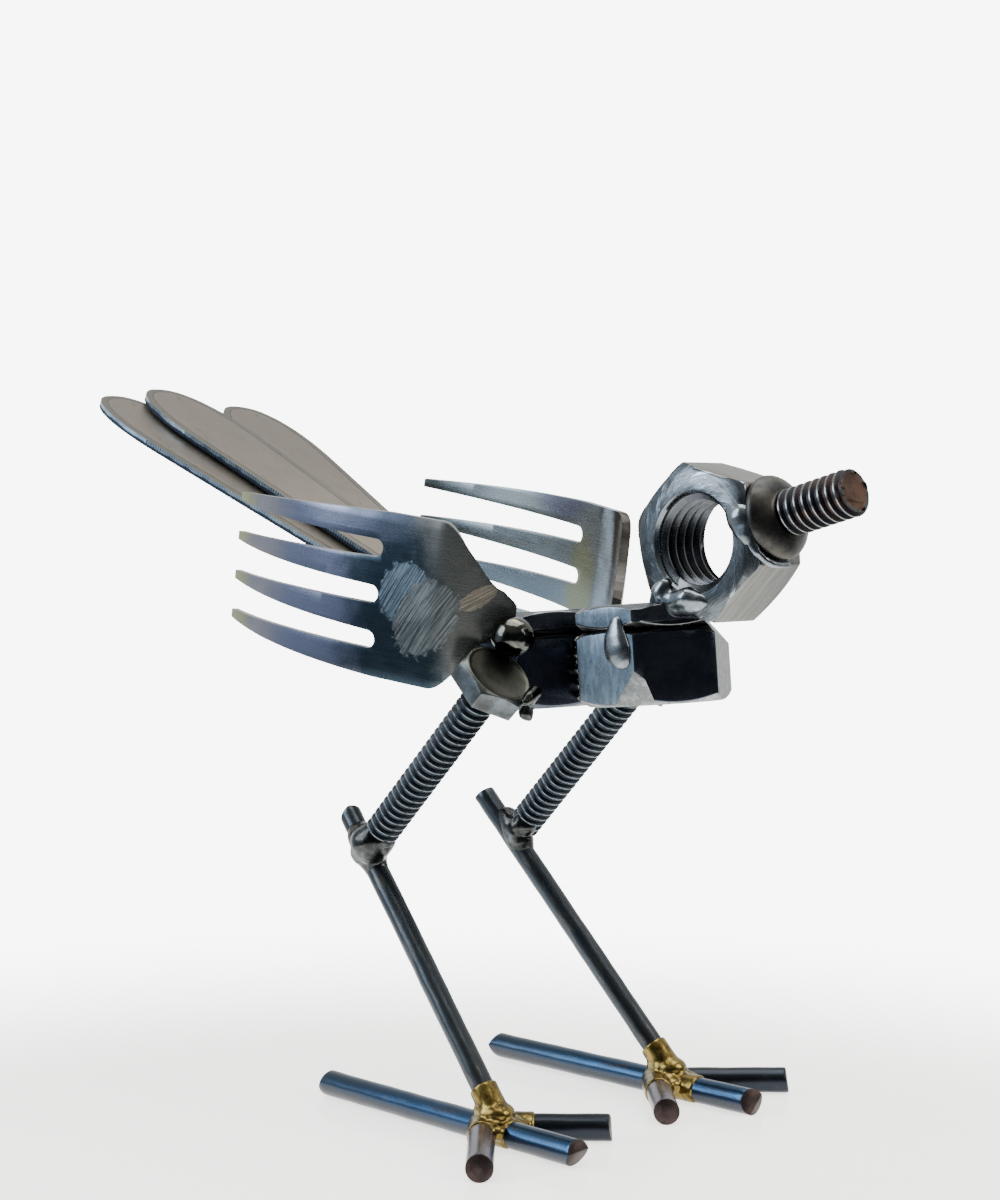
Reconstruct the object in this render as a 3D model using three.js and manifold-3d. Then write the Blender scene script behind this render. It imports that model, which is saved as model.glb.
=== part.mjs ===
// A small standing bird welded together from fasteners, rod, fork heads and table-knife blades.
// Millimetres. The bird looks along +X, its left side is +Y, and it stands on Z = 0.
import * as THREE from 'three';
import { mergeVertices } from 'three/addons/utils/BufferGeometryUtils.js';
import Module from 'manifold-3d';

const wasm = await Module();
wasm.setup();

// Clearance left between pieces that are welded against each other
const GAP = 0.3;

// Large hexagon nuts of the body and the head
const NUT_FLATS = 24;
const NUT_HEIGHT = 13;
const NUT_BORE = 14.2;
const NUT_RIM = 17.2;
const LOCK_HEIGHT = 3.9;
const NUT_CHAMFER_ANGLE = 30;
const SHOULDER_GRIND_ABOVE = 3;
const CORNER_GRIND_DEPTH = 0.5;
const FOOT_GRIND_AHEAD = 6.2;
const FOOT_GRIND_BELOW = 0.3;

// Hip bolts that make the thighs
const HIP_HEAD_FLATS = 12.7;
const HIP_HEAD_HEIGHT = 4.2;
const THIGH_DIAMETER = 6.35;
const THIGH_LENGTH = 43.2;
const THIGH_SLOPE = 45;
const HIP_STANDOFF = 1.5;
const SHIN_INBOARD = 1.4;

// Shin rods: length below and above the place where the thigh bolt butts on them
const SHIN_DIAMETER = 4.1;
const SHIN_BELOW_KNEE = 55;
const SHIN_ABOVE_KNEE = 10.3;
const SHIN_SLOPE = 47.4;
const SHIN_SPLAY = 4.3;

// Feet: one long rod from heel to middle toe, and two shorter toes beside it
const TOE_DIAMETER = 4.8;
const HEEL_REACH = 45.6;
const MIDDLE_TOE_REACH = 20.3;
const OUTER_TOE_REACH = 25.2;
const INNER_TOE_REACH = 22.6;
const SIDE_TOE_SPREAD = 44.5;
const SIDE_TOE_SETBACK = 3.4;
const TOE_OUT = 1.1;

// Body attitude and where the hips sit against the rear nut
const BODY_PITCH = 4.9;
const HIP_AHEAD = 6.8;
const HIP_BELOW = 2.4;

// Head nut and beak bolt
const HEAD_PITCH = 15;
const HEAD_AHEAD = 15.8;
const HEAD_ABOVE = 11.4;
const BEAK_COLLAR_DIAMETER = 14.4;
const BEAK_COLLAR_LENGTH = 3.6;
const BEAK_SHANK_DIAMETER = 8;
const BEAK_SHANK_LENGTH = 13.1;
const BEAK_OFFSET = 0.7;

// Fork heads that make the wings
const FORK_THICKNESS = 1.7;
const FORK_WIDTH = 29.6;
const TINE_COUNT = 4;
const TINE_LENGTH = 44.5;
const TINE_ROOT_WIDTH = 5;
const TINE_TIP_WIDTH = 1.6;
const TINE_TIP_SPAN = 24.2;
const PALM_LENGTH = 11.3;
const SHOULDER_LENGTH = 12.5;
const NECK_WIDTH = 7;
const WING_STANDOFF = 14;
const WING_BEHIND_HIP = 20.7;
const WING_ABOVE_HIP = 16;
const WING_RISE = 8.6;
const LEFT_WING_LIFT = 2;
const LEFT_WING_EXTRA_RISE = 1.4;
const PALM_TOE_OUT = 14;
const TINE_CURL = 35;
const RIGHT_NECK_ANGLE = 66;
const LEFT_NECK_ANGLE = 50;
const NECK_BEND_RADIUS = 7;
const NECK_BEND_START = 11.5;

// Knife blades that make the tail
const BLADE_LENGTH = 107.5;
const BLADE_THICKNESS = 1.5;
const BLADE_ROOT_WIDTH = 9.5;
const BLADE_WIDTH = 18.2;
const BLADE_TIP_FLAT = 1.2;
const TAIL_RISE = 24.5;
const TAIL_STANDOFF = 0.6;
const RIGHT_BLADE_TURN = 5;
const LEFT_BLADE_TURN = 9;
const MIDDLE_BLADE_TURN = 0.2;
const RIGHT_BLADE_OFFSET = -3.8;
const LEFT_BLADE_OFFSET = 5.6;
const MIDDLE_BLADE_OFFSET = -1;
const LEFT_BLADE_SETBACK = 2.4;

// Weld metal: bead radii, and where each bead sits
const HIP_BEAD = 3.9;
const HIP_BEAD_BACK = 1.5;
const HIP_BEAD_OUT = 3.2;
const HIP_BEAD_ABOVE = 6;
const KNEE_BEAD = 3.7;
const ANKLE_BRAZE = 4.7;
const WAIST_BEAD = 3.6;
const NECK_BEAD = 3.2;
const NECK_BEAD_REACH = 6;
const NECK_BEAD_BACK_RIGHT = 2.5;
const NECK_BEAD_BACK_LEFT = 6.5;
const TAIL_BEAD = 3;
const NECK_BEAD_SINK = 1.5;
const CHEST_BEAD = 1.7;
const CHEST_BEAD_AHEAD = 3.6;
const CHEST_BEAD_ABOVE = 3.4;
const DRIP_BEAD = 1.9;
const DRIP_AHEAD = 3.4;
const DRIP_OUT = 1.2;
const DRIP_BELOW = 3.6;

const rad = THREE.MathUtils.degToRad;
const vec = (x, y, z) => new THREE.Vector3(x, y, z);
const cornerRadius = (flats) => flats / Math.sqrt(3);

// Solids for joining and cutting
function solid(geometry, matrix) {
  const copy = geometry.clone();
  if (matrix) copy.applyMatrix4(matrix);
  copy.deleteAttribute('normal');
  copy.deleteAttribute('uv');
  const merged = mergeVertices(copy, 1e-4);
  const index = merged.index.array;
  const kept = [];
  for (let i = 0; i < index.length; i += 3) {
    const [a, b, c] = [index[i], index[i + 1], index[i + 2]];
    if (a !== b && b !== c && a !== c) kept.push(a, b, c);
  }
  return new wasm.Manifold(new wasm.Mesh({
    numProp: 3,
    vertProperties: new Float32Array(merged.attributes.position.array),
    triVerts: new Uint32Array(kept),
  }));
}

function geometryOf(body) {
  const mesh = body.getMesh();
  const points = new THREE.BufferGeometry();
  points.setAttribute('position', new THREE.BufferAttribute(new Float32Array(mesh.vertProperties), 3));
  points.setIndex(new THREE.BufferAttribute(new Uint32Array(mesh.triVerts), 1));
  const flat = points.toNonIndexed();
  flat.computeVertexNormals();
  return flat;
}

// A matrix that puts local Z along one direction and local X near another
function pose(origin, zAxis, xHint) {
  const z = zAxis.clone().normalize();
  const y = z.clone().cross(xHint).normalize();
  const x = y.clone().cross(z);
  return new THREE.Matrix4().makeBasis(x, y, z).setPosition(origin);
}

// Everything on one side of a plane is ground away
function grindPlane(body, point, normal) {
  const size = 240;
  const block = new THREE.BoxGeometry(size, size, size).translate(0, 0, size / 2);
  const hint = Math.abs(normal.z) > 0.9 ? vec(1, 0, 0) : vec(0, 0, 1);
  return body.subtract(solid(block, pose(point, normal, hint)));
}

// A solid turned about Z from a list of radius and height pairs
function turned(profile, segments = 32) {
  const points = profile.map(([r, z]) => new THREE.Vector2(r, z));
  return new THREE.LatheGeometry(points, segments).rotateX(Math.PI / 2);
}

// Hexagonal prism, corners on the local X axis, edges broken by the usual cone at one or both ends
function hexagon(flats, height, bothEnds, grow = 0) {
  const corner = cornerRadius(flats + 2 * grow);
  const prism = new THREE.CylinderGeometry(corner, corner, height + 2 * grow, 6);
  prism.rotateX(Math.PI / 2).rotateZ(Math.PI / 2);
  const face = 0.96 * flats / 2 + grow;
  const outer = corner + 1;
  const drop = (outer - face) * Math.tan(rad(NUT_CHAMFER_ANGLE));
  const half = height / 2 + grow;
  const low = bothEnds ? [[0, -half], [face, -half], [outer, drop - half]] : [[0, -half], [outer, -half]];
  const barrel = turned([...low, [outer, half - drop], [face, half], [0, half]], 24);
  return solid(prism).intersect(solid(barrel));
}

function nutBody(height) {
  const hole = NUT_BORE / 2;
  const rim = NUT_RIM / 2;
  const half = height / 2;
  const sink = rim - hole;
  const bore = turned([[0, -half - 1], [rim + 1, -half - 1], [hole, sink - half],
    [hole, half - sink], [rim + 1, half + 1], [0, half + 1]], 24);
  return hexagon(NUT_FLATS, height, true).subtract(solid(bore));
}

// A rounded lump of weld metal
function beadAt(point, x, y, z) {
  const lump = new THREE.IcosahedronGeometry(1, 2).scale(x, y, z);
  return solid(lump, new THREE.Matrix4().makeTranslation(point));
}

// Legs, built from the ground up
function legPoints(side) {
  const splay = rad(SHIN_SPLAY);
  const slope = rad(SHIN_SLOPE);
  const up = vec(-Math.cos(slope), 0, Math.sin(slope));
  up.y = -side * Math.tan(splay);
  up.normalize();
  const hipSide = NUT_FLATS / 2 + HIP_STANDOFF + HIP_HEAD_FLATS / 2;
  const thighAxis = vec(Math.cos(rad(THIGH_SLOPE)), 0, Math.sin(rad(THIGH_SLOPE)));
  const knee = vec(0, side * (hipSide - SHIN_INBOARD), 0);
  const ankle = knee.clone().addScaledVector(up, -SHIN_BELOW_KNEE);
  const lift = TOE_DIAMETER + GAP - ankle.z;
  knee.z += lift;
  ankle.z += lift;
  const butt = knee.clone().addScaledVector(thighAxis, SHIN_DIAMETER / 2 + GAP);
  butt.y = side * hipSide;
  const hip = butt.clone().addScaledVector(thighAxis, THIGH_LENGTH);
  const top = knee.clone().addScaledVector(up, SHIN_ABOVE_KNEE);
  return { knee, ankle, butt, hip, top, up, thighAxis };
}

const legs = { right: legPoints(-1), left: legPoints(1) };
const hipCentre = vec(legs.right.hip.x, 0, legs.right.hip.z);

function hipBolt(leg, grow = 0) {
  const head = hexagon(HIP_HEAD_FLATS, HIP_HEAD_HEIGHT, false, grow);
  const radius = THIGH_DIAMETER / 2 + grow;
  const overlap = 1;
  const tip = grow ? 0 : 0.7;
  const length = THIGH_LENGTH + overlap;
  const profile = [[0, -grow], [radius - tip, -grow], [radius, tip], [radius, length], [0, length]];
  const shank = turned(profile, 16);
  const low = new THREE.Matrix4().makeTranslation(0, 0, -THIGH_LENGTH - HIP_HEAD_HEIGHT / 2);
  const body = head.add(solid(shank, low));
  const centre = leg.hip.clone().addScaledVector(leg.thighAxis, HIP_HEAD_HEIGHT / 2);
  return solid(geometryOf(body), pose(centre, leg.thighAxis, vec(-1, 0, 1)));
}

function rodBetween(from, to, diameter, sides = 12) {
  const length = from.distanceTo(to);
  const rod = new THREE.CylinderGeometry(diameter / 2, diameter / 2, length, sides);
  rod.rotateX(Math.PI / 2).translate(0, 0, length / 2);
  rod.rotateZ(Math.PI / sides);
  const along = to.clone().sub(from);
  return solid(rod, pose(from, along, vec(0, 0, 1)));
}

function shin(leg, grow = 0) {
  const past = leg.ankle.clone().addScaledVector(leg.up, -6);
  const top = leg.top.clone().addScaledVector(leg.up, grow);
  const rod = rodBetween(past, top, SHIN_DIAMETER + 2 * grow);
  return grindPlane(rod, vec(0, 0, TOE_DIAMETER + GAP - grow), vec(0, 0, -1));
}

function toeDirection(side, angle) {
  const turn = rad(TOE_OUT + angle) * side;
  return vec(Math.cos(turn), Math.sin(turn), 0);
}

// Round rod resting on one of its flats, so that the flats lie on the ground
const TOE_SIDES = 12;
const toeAxisHeight = TOE_DIAMETER / 2 * Math.cos(Math.PI / TOE_SIDES);

function footCentre(leg) {
  return vec(leg.ankle.x, leg.ankle.y, toeAxisHeight);
}

function footRod(side, leg, grow = 0) {
  const ahead = toeDirection(side, 0);
  const heel = footCentre(leg).addScaledVector(ahead, -HEEL_REACH - grow);
  const toe = footCentre(leg).addScaledVector(ahead, MIDDLE_TOE_REACH + grow);
  return rodBetween(heel, toe, TOE_DIAMETER + 2 * grow, TOE_SIDES);
}

function sideToe(side, leg, spread, reach, grow = 0) {
  const root = footCentre(leg).addScaledVector(toeDirection(side, 0), -SIDE_TOE_SETBACK);
  const tip = root.clone().addScaledVector(toeDirection(side, spread), reach);
  const toe = rodBetween(root, tip, TOE_DIAMETER + 2 * grow, TOE_SIDES);
  return toe.subtract(footRod(side, leg, GAP - grow));
}

const outerToe = (side, leg, grow = 0) => sideToe(side, leg, SIDE_TOE_SPREAD, OUTER_TOE_REACH, grow);
const innerToe = (side, leg, grow = 0) => sideToe(side, leg, -SIDE_TOE_SPREAD, INNER_TOE_REACH, grow);

// The body: two large nuts in line, corner to corner, each with a thin nut on top
const pitch = rad(BODY_PITCH);
const bodyAhead = vec(Math.cos(pitch), 0, Math.sin(pitch));
const bodyUp = vec(-Math.sin(pitch), 0, Math.cos(pitch));
const rearCentre = hipCentre.clone()
  .addScaledVector(bodyAhead, -HIP_AHEAD)
  .addScaledVector(bodyUp, HIP_BELOW);
const frontCentre = rearCentre.clone()
  .addScaledVector(bodyAhead, 2 * cornerRadius(NUT_FLATS) + GAP);
const lockRise = NUT_HEIGHT / 2 + GAP + LOCK_HEIGHT / 2;
const bodyPose = (centre, rise) => pose(centre.clone().addScaledVector(bodyUp, rise), bodyUp, bodyAhead);

const headTilt = rad(HEAD_PITCH);
const beakAxis = vec(Math.cos(headTilt), 0, Math.sin(headTilt));
const headCentre = frontCentre.clone()
  .addScaledVector(bodyAhead, HEAD_AHEAD)
  .addScaledVector(bodyUp, lockRise + HEAD_ABOVE);
// Local Z is the nut's own axis, across the bird; a flat faces along the beak
const flatAhead = new THREE.Matrix4().makeRotationZ(rad(30));
const headPose = pose(headCentre, vec(0, -1, 0), beakAxis).multiply(flatAhead);

function bodyPoint(centre, ahead, left, up) {
  return centre.clone().addScaledVector(bodyAhead, ahead).add(vec(0, left, 0)).addScaledVector(bodyUp, up);
}

// Grinding marks big enough to change the outline of the front nuts
function groundFront(body) {
  const corner = cornerRadius(NUT_FLATS);
  const shoulder = bodyPoint(frontCentre, corner / 2, NUT_FLATS / 2, SHOULDER_GRIND_ABOVE);
  const slope = vec(0.62, 0.47, 0.63);
  const cut = corner - CORNER_GRIND_DEPTH;
  const edge = bodyPoint(frontCentre, 0.5 * cut, -0.866 * cut, 0);
  const edgeNormal = vec(0.5, -0.866, 0);
  const foot = bodyPoint(frontCentre, FOOT_GRIND_AHEAD, -NUT_FLATS / 2, -FOOT_GRIND_BELOW);
  const footNormal = vec(0.3, -0.92, -0.25);
  let ground = grindPlane(body, shoulder, slope);
  ground = grindPlane(ground, edge, edgeNormal);
  return grindPlane(ground, foot, footNormal);
}

const headBlank = solid(geometryOf(hexagon(NUT_FLATS, NUT_HEIGHT, true, GAP)), headPose);

const bodyNuts = {
  body_nut_rear: solid(geometryOf(nutBody(NUT_HEIGHT)), bodyPose(rearCentre, 0)),
  lock_nut_rear: solid(geometryOf(nutBody(LOCK_HEIGHT)), bodyPose(rearCentre, lockRise)),
  body_nut_front: groundFront(solid(geometryOf(nutBody(NUT_HEIGHT)), bodyPose(frontCentre, 0)))
    .subtract(headBlank),
  lock_nut_front: groundFront(solid(geometryOf(nutBody(LOCK_HEIGHT)), bodyPose(frontCentre, lockRise)))
    .subtract(headBlank),
};

// The four body nuts without their bores, grown by the clearance, for cutting what is welded to them
const bodyBlank = [[rearCentre, 0, NUT_HEIGHT], [rearCentre, lockRise, LOCK_HEIGHT],
  [frontCentre, 0, NUT_HEIGHT], [frontCentre, lockRise, LOCK_HEIGHT]]
  .map(([centre, rise, height]) => [hexagon(NUT_FLATS, height, true, GAP), bodyPose(centre, rise)])
  .map(([blank, at]) => solid(geometryOf(blank), at))
  .reduce((sum, next) => sum.add(next));

// Beak: a collared bolt on the front flat of the head nut
function beak(grow = 0) {
  const collar = BEAK_COLLAR_DIAMETER / 2 + grow;
  const shank = BEAK_SHANK_DIAMETER / 2 + grow;
  const length = BEAK_COLLAR_LENGTH;
  const bell = [[0.95, 0], [1, 0.12], [0.99, 0.3], [0.93, 0.5], [0.83, 0.7], [0.72, 0.87], [0.62, 1]];
  const profile = bell.map(([r, z]) => [r * collar, z * length - grow]);
  const end = length + BEAK_SHANK_LENGTH + grow;
  const tip = [[shank, length], [shank, end - 0.6], [shank - 0.6, end], [0, end]];
  const body = turned([[0, -grow], ...profile, ...tip], 24);
  const across = vec(-Math.sin(headTilt), 0, Math.cos(headTilt));
  const root = headCentre.clone()
    .addScaledVector(beakAxis, NUT_FLATS / 2 + GAP)
    .addScaledVector(across, BEAK_OFFSET);
  return solid(body, pose(root, beakAxis, vec(0, 0, 1)));
}

// Wings: a fork head bent along a plan curve; distances run forward from the slot ends
function forkPath(side) {
  const step = 1.25;
  const ahead = [];
  const turn = rad((side > 0 ? LEFT_NECK_ANGLE : RIGHT_NECK_ANGLE) - PALM_TOE_OUT);
  let heading = 0;
  let x = 0;
  let y = 0;
  const bendLength = NECK_BEND_RADIUS * turn;
  const total = PALM_LENGTH + SHOULDER_LENGTH + NECK_WIDTH;
  for (let s = 0; s < total; s += step) {
    const bent = THREE.MathUtils.clamp((s - NECK_BEND_START) / bendLength, 0, 1);
    heading = -rad(PALM_TOE_OUT) - turn * bent;
    x += step * Math.cos(heading);
    y += step * Math.sin(heading);
    ahead.push({ s: s + step, x, y: side * y });
  }
  const behind = [];
  x = 0;
  y = 0;
  for (let s = 0; s < TINE_LENGTH + step; s += 2 * step) {
    heading = rad(TINE_CURL) * s / TINE_LENGTH - rad(PALM_TOE_OUT);
    x -= 2 * step * Math.cos(heading);
    y -= 2 * step * Math.sin(heading);
    behind.unshift({ s: -s - 2 * step, x, y: side * y });
  }
  return [...behind, { s: 0, x: 0, y: 0 }, ...ahead];
}

function pathAt(path, s) {
  const next = path.findIndex((p) => p.s >= s);
  if (next <= 0) return path[0].x;
  const [a, b] = [path[next - 1], path[next]];
  return a.x + (b.x - a.x) * (s - a.s) / (b.s - a.s);
}

function forkOutline(path, grow) {
  const at = (s, v) => new THREE.Vector2(pathAt(path, s), v);
  const half = FORK_WIDTH / 2;
  const rootPitch = (FORK_WIDTH - TINE_ROOT_WIDTH) / (TINE_COUNT - 1);
  const tipPitch = (TINE_TIP_SPAN - TINE_TIP_WIDTH) / (TINE_COUNT - 1);
  const points = [];
  const neckEnd = PALM_LENGTH + SHOULDER_LENGTH + NECK_WIDTH;
  const shoulder = [[0, 1], [0.12, 0.98], [0.25, 0.9], [0.45, 0.68], [0.7, 0.42], [0.88, 0.28], [1, 0.23]];
  const blend = shoulder.map(([t, w]) => [PALM_LENGTH + t * SHOULDER_LENGTH, w]);
  const neckHalf = NECK_WIDTH / 2;
  const width = (w) => Math.max(neckHalf, w * half) + grow;
  points.push(at(neckEnd, -neckHalf - grow), at(neckEnd, neckHalf + grow));
  for (const [s, w] of [...blend].reverse()) points.push(at(s, width(w)));
  for (let i = 0; i < TINE_COUNT; i += 1) {
    const root = half - TINE_ROOT_WIDTH / 2 - i * rootPitch;
    const tip = TINE_TIP_SPAN / 2 - TINE_TIP_WIDTH / 2 - i * tipPitch;
    const w0 = TINE_ROOT_WIDTH / 2 + grow;
    const w1 = TINE_TIP_WIDTH / 2 + grow;
    const centre = 0.5 * (root + tip);
    const wide = 0.56 * w0 + 0.44 * w1;
    if (i === 0) points.push(at(0, root + w0));
    points.push(at(-TINE_LENGTH / 2, centre + wide), at(-TINE_LENGTH, tip + w1));
    points.push(at(-TINE_LENGTH, tip - w1), at(-TINE_LENGTH / 2, centre - wide));
    if (i < TINE_COUNT - 1) {
      const radius = (rootPitch - TINE_ROOT_WIDTH) / 2;
      for (let k = 0; k <= 6; k += 1) {
        const turn = Math.PI * k / 6;
        points.push(at(radius * (Math.sin(turn) - 1), root - rootPitch / 2 + radius * Math.cos(turn)));
      }
    } else {
      points.push(at(0, root - w0));
    }
  }
  for (const [s, w] of blend) points.push(at(s, -width(w)));
  return new THREE.Shape(points);
}

function fork(side, grow = 0) {
  const path = forkPath(side);
  const half = FORK_THICKNESS / 2 + grow;
  const offset = (sign) => path.map((p, i) => {
    const a = path[Math.max(0, i - 1)];
    const b = path[Math.min(path.length - 1, i + 1)];
    const along = new THREE.Vector2(b.x - a.x, b.y - a.y).normalize();
    return new THREE.Vector2(p.x - sign * half * along.y, p.y + sign * half * along.x);
  });
  const strip = new THREE.Shape([...offset(1), ...offset(-1).reverse()]);
  const tall = FORK_WIDTH * 2;
  const sheet = new THREE.ExtrudeGeometry(strip, { depth: tall, bevelEnabled: false });
  sheet.translate(0, 0, -tall / 2);
  const flat = forkOutline(path, grow);
  const outline = new THREE.ExtrudeGeometry(flat, { depth: tall * 2, bevelEnabled: false });
  outline.rotateX(Math.PI / 2).translate(0, tall, 0);
  const rise = rad(WING_RISE + (side > 0 ? LEFT_WING_EXTRA_RISE : 0));
  const lift = WING_ABOVE_HIP + (side > 0 ? LEFT_WING_LIFT : 0);
  const ahead = vec(Math.cos(rise), 0, -Math.sin(rise));
  const up = vec(Math.sin(rise), 0, Math.cos(rise));
  const out = side * (NUT_FLATS / 2 + WING_STANDOFF);
  const origin = vec(hipCentre.x - WING_BEHIND_HIP, out, hipCentre.z + lift);
  const bent = solid(geometryOf(solid(sheet).intersect(solid(outline))), pose(origin, up, ahead));
  return grindPlane(bent, vec(0, side * (NUT_FLATS / 2 + GAP - grow), 0), vec(0, -side, 0));
}

// Tail: knife blades with rounded tips, the middle one over the other two
function bladeOutline(grow) {
  const length = BLADE_LENGTH;
  const root = BLADE_ROOT_WIDTH / 2 + grow;
  const half = BLADE_WIDTH / 2 + grow;
  const wide = (share) => root + share * (half - root);
  const edge = [[0, root], [0.4 * length, wide(0.55)], [0.62 * length, wide(0.86)], [0.76 * length, half]];
  const tip = [];
  const tipStart = 0.8 * length;
  for (let i = 0; i <= 10; i += 1) {
    const turn = Math.PI / 2 * i / 10;
    tip.push([tipStart + (length - tipStart) * Math.sin(turn), half * Math.cos(turn) ** 0.8]);
  }
  const top = [...edge, ...tip.slice(0, -1), [length, BLADE_TIP_FLAT / 2]];
  const bottom = [...top].reverse().map(([a, b]) => [a, -b]);
  return new THREE.Shape([...top, ...bottom].map(([a, b]) => new THREE.Vector2(a, b)));
}

function blade(sideways, turn, layer, setback, grow = 0) {
  const depth = BLADE_THICKNESS + 2 * grow;
  const plate = new THREE.ExtrudeGeometry(bladeOutline(grow), { depth, bevelEnabled: false });
  plate.translate(0, 0, -grow);
  const rise = rad(TAIL_RISE);
  const behind = vec(-Math.cos(rise), 0, Math.sin(rise));
  const up = vec(Math.sin(rise), 0, Math.cos(rise));
  const past = -cornerRadius(NUT_FLATS) - TAIL_STANDOFF;
  const corner = bodyPoint(rearCentre, past, sideways, lockRise + LOCK_HEIGHT / 2);
  const root = corner
    .addScaledVector(up, -layer * (BLADE_THICKNESS + GAP))
    .addScaledVector(behind, setback);
  const fan = new THREE.Matrix4().makeRotationZ(rad(turn));
  return solid(plate, pose(root, up, behind).multiply(fan));
}

const tail = {
  tail_blade_middle: [MIDDLE_BLADE_OFFSET, MIDDLE_BLADE_TURN, 0, 0],
  tail_blade_right: [RIGHT_BLADE_OFFSET, RIGHT_BLADE_TURN, 1, 0],
  tail_blade_left: [LEFT_BLADE_OFFSET, -LEFT_BLADE_TURN, 2, LEFT_BLADE_SETBACK],
};
const tailBlank = Object.values(tail)
  .map((spec) => blade(...spec, GAP))
  .reduce((sum, next) => sum.add(next));

// Steel, brass braze and heat tint, as plain surface colours
const steel = (color, roughness) => new THREE.MeshStandardMaterial({ color, roughness, metalness: 0.95 });
const looks = {
  nut: () => steel(0x6e7478, 0.32),
  bolt: () => steel(0x3b4148, 0.36),
  rod: () => steel(0x454a52, 0.4),
  fork: () => steel(0x54636e, 0.28),
  blade: () => steel(0x9c9488, 0.34),
  weld: () => steel(0x2c2e30, 0.3),
  braze: () => steel(0xa07f3a, 0.3),
};

const bird = new THREE.Group();

function add(name, body, look) {
  const mesh = new THREE.Mesh(geometryOf(body), looks[look]());
  mesh.name = name;
  bird.add(mesh);
}

for (const [name, body] of Object.entries(bodyNuts)) add(name, body, 'nut');
add('head_nut', solid(geometryOf(nutBody(NUT_HEIGHT)), headPose), 'nut');
add('beak_bolt', beak(), 'bolt');

for (const [name, side] of [['right', -1], ['left', 1]]) {
  const leg = legs[name];
  const boltCut = hipBolt(leg, GAP);
  const shinCut = shin(leg, GAP);
  add(`thigh_bolt_${name}`, hipBolt(leg), 'bolt');
  add(`shin_rod_${name}`, shin(leg), 'rod');
  add(`foot_rod_${name}`, footRod(side, leg), 'rod');
  add(`outer_toe_${name}`, outerToe(side, leg), 'rod');
  add(`inner_toe_${name}`, innerToe(side, leg), 'rod');

  const wing = fork(side)
    .subtract(bodyBlank)
    .subtract(boltCut)
    .subtract(tailBlank);
  add(`fork_wing_${name}`, wing, 'fork');

  // Bead that ties the hip bolt, the rear nut and the end of the fork neck together
  const hipTop = leg.hip.clone().addScaledVector(leg.thighAxis, HIP_HEAD_HEIGHT);
  const hipOut = side * (NUT_FLATS / 2 + HIP_BEAD_OUT);
  const hipBeadAt = vec(hipTop.x - HIP_BEAD_BACK, hipOut, hipTop.z + HIP_BEAD_ABOVE);
  const hip = beadAt(hipBeadAt, HIP_BEAD, HIP_BEAD, HIP_BEAD)
    .subtract(bodyBlank)
    .subtract(boltCut)
    .subtract(fork(side, GAP));
  add(`weld_hip_${name}`, hip, 'weld');

  const kneeAt = leg.knee.clone().addScaledVector(leg.thighAxis, SHIN_DIAMETER / 4);
  const knee = beadAt(kneeAt, KNEE_BEAD, KNEE_BEAD * 0.9, KNEE_BEAD)
    .subtract(boltCut)
    .subtract(shinCut);
  add(`weld_knee_${name}`, knee, 'weld');

  const brazeAt = vec(leg.ankle.x - SIDE_TOE_SETBACK / 2, leg.ankle.y, TOE_DIAMETER);
  const braze = beadAt(brazeAt, ANKLE_BRAZE, ANKLE_BRAZE, ANKLE_BRAZE)
    .subtract(shinCut)
    .subtract(footRod(side, leg, GAP))
    .subtract(outerToe(side, leg, GAP))
    .subtract(innerToe(side, leg, GAP));
  add(`ankle_braze_${name}`, grindPlane(braze, vec(0, 0, toeAxisHeight), vec(0, 0, -1)), 'braze');
}

for (const [name, spec] of Object.entries(tail)) add(name, blade(...spec), 'blade');

// Beads under the rear of the head nut, and beads where the two body nuts meet
const seatHeight = lockRise + LOCK_HEIGHT / 2;
const boreCut = solid(
  turned([[0, -NUT_HEIGHT], [NUT_BORE / 2, -NUT_HEIGHT], [NUT_BORE / 2, NUT_HEIGHT], [0, NUT_HEIGHT]], 24),
  bodyPose(frontCentre, lockRise),
);
for (const [name, side] of [['right', -1], ['left', 1]]) {
  const ahead = HEAD_AHEAD - (side < 0 ? NECK_BEAD_BACK_RIGHT : NECK_BEAD_BACK_LEFT);
  const seat = bodyPoint(frontCentre, ahead, side * NUT_HEIGHT / 2, seatHeight - NECK_BEAD_SINK);
  const neck = beadAt(seat, NECK_BEAD_REACH, NECK_BEAD * 0.8, NECK_BEAD)
    .subtract(bodyBlank)
    .subtract(headBlank)
    .subtract(boreCut);
  add(`weld_neck_${name}`, neck, 'weld');

  const waistAt = bodyPoint(rearCentre, cornerRadius(NUT_FLATS), side * WAIST_BEAD * 0.9, 0);
  const waist = beadAt(waistAt, WAIST_BEAD * 0.8, WAIST_BEAD, WAIST_BEAD * 1.2)
    .subtract(bodyBlank)
    .subtract(hipBolt(legs[name], GAP));
  add(`weld_waist_${name}`, waist, 'weld');
}

// A bead low on the right face of the front nut, and a drip under the right hip
const chestAt = bodyPoint(frontCentre, CHEST_BEAD_AHEAD, -NUT_FLATS / 2 - GAP, CHEST_BEAD_ABOVE);
const chest = beadAt(chestAt, CHEST_BEAD, CHEST_BEAD * 0.7, CHEST_BEAD * 2.6).subtract(bodyBlank);
add('weld_chest', chest, 'weld');

const hipRight = legs.right.hip;
const dripAt = vec(hipRight.x + DRIP_AHEAD, -NUT_FLATS / 2 - DRIP_OUT, hipRight.z - DRIP_BELOW);
const drip = beadAt(dripAt, DRIP_BEAD, DRIP_BEAD, DRIP_BEAD)
  .subtract(bodyBlank)
  .subtract(hipBolt(legs.right, GAP));
add('weld_drip', drip, 'weld');

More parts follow.
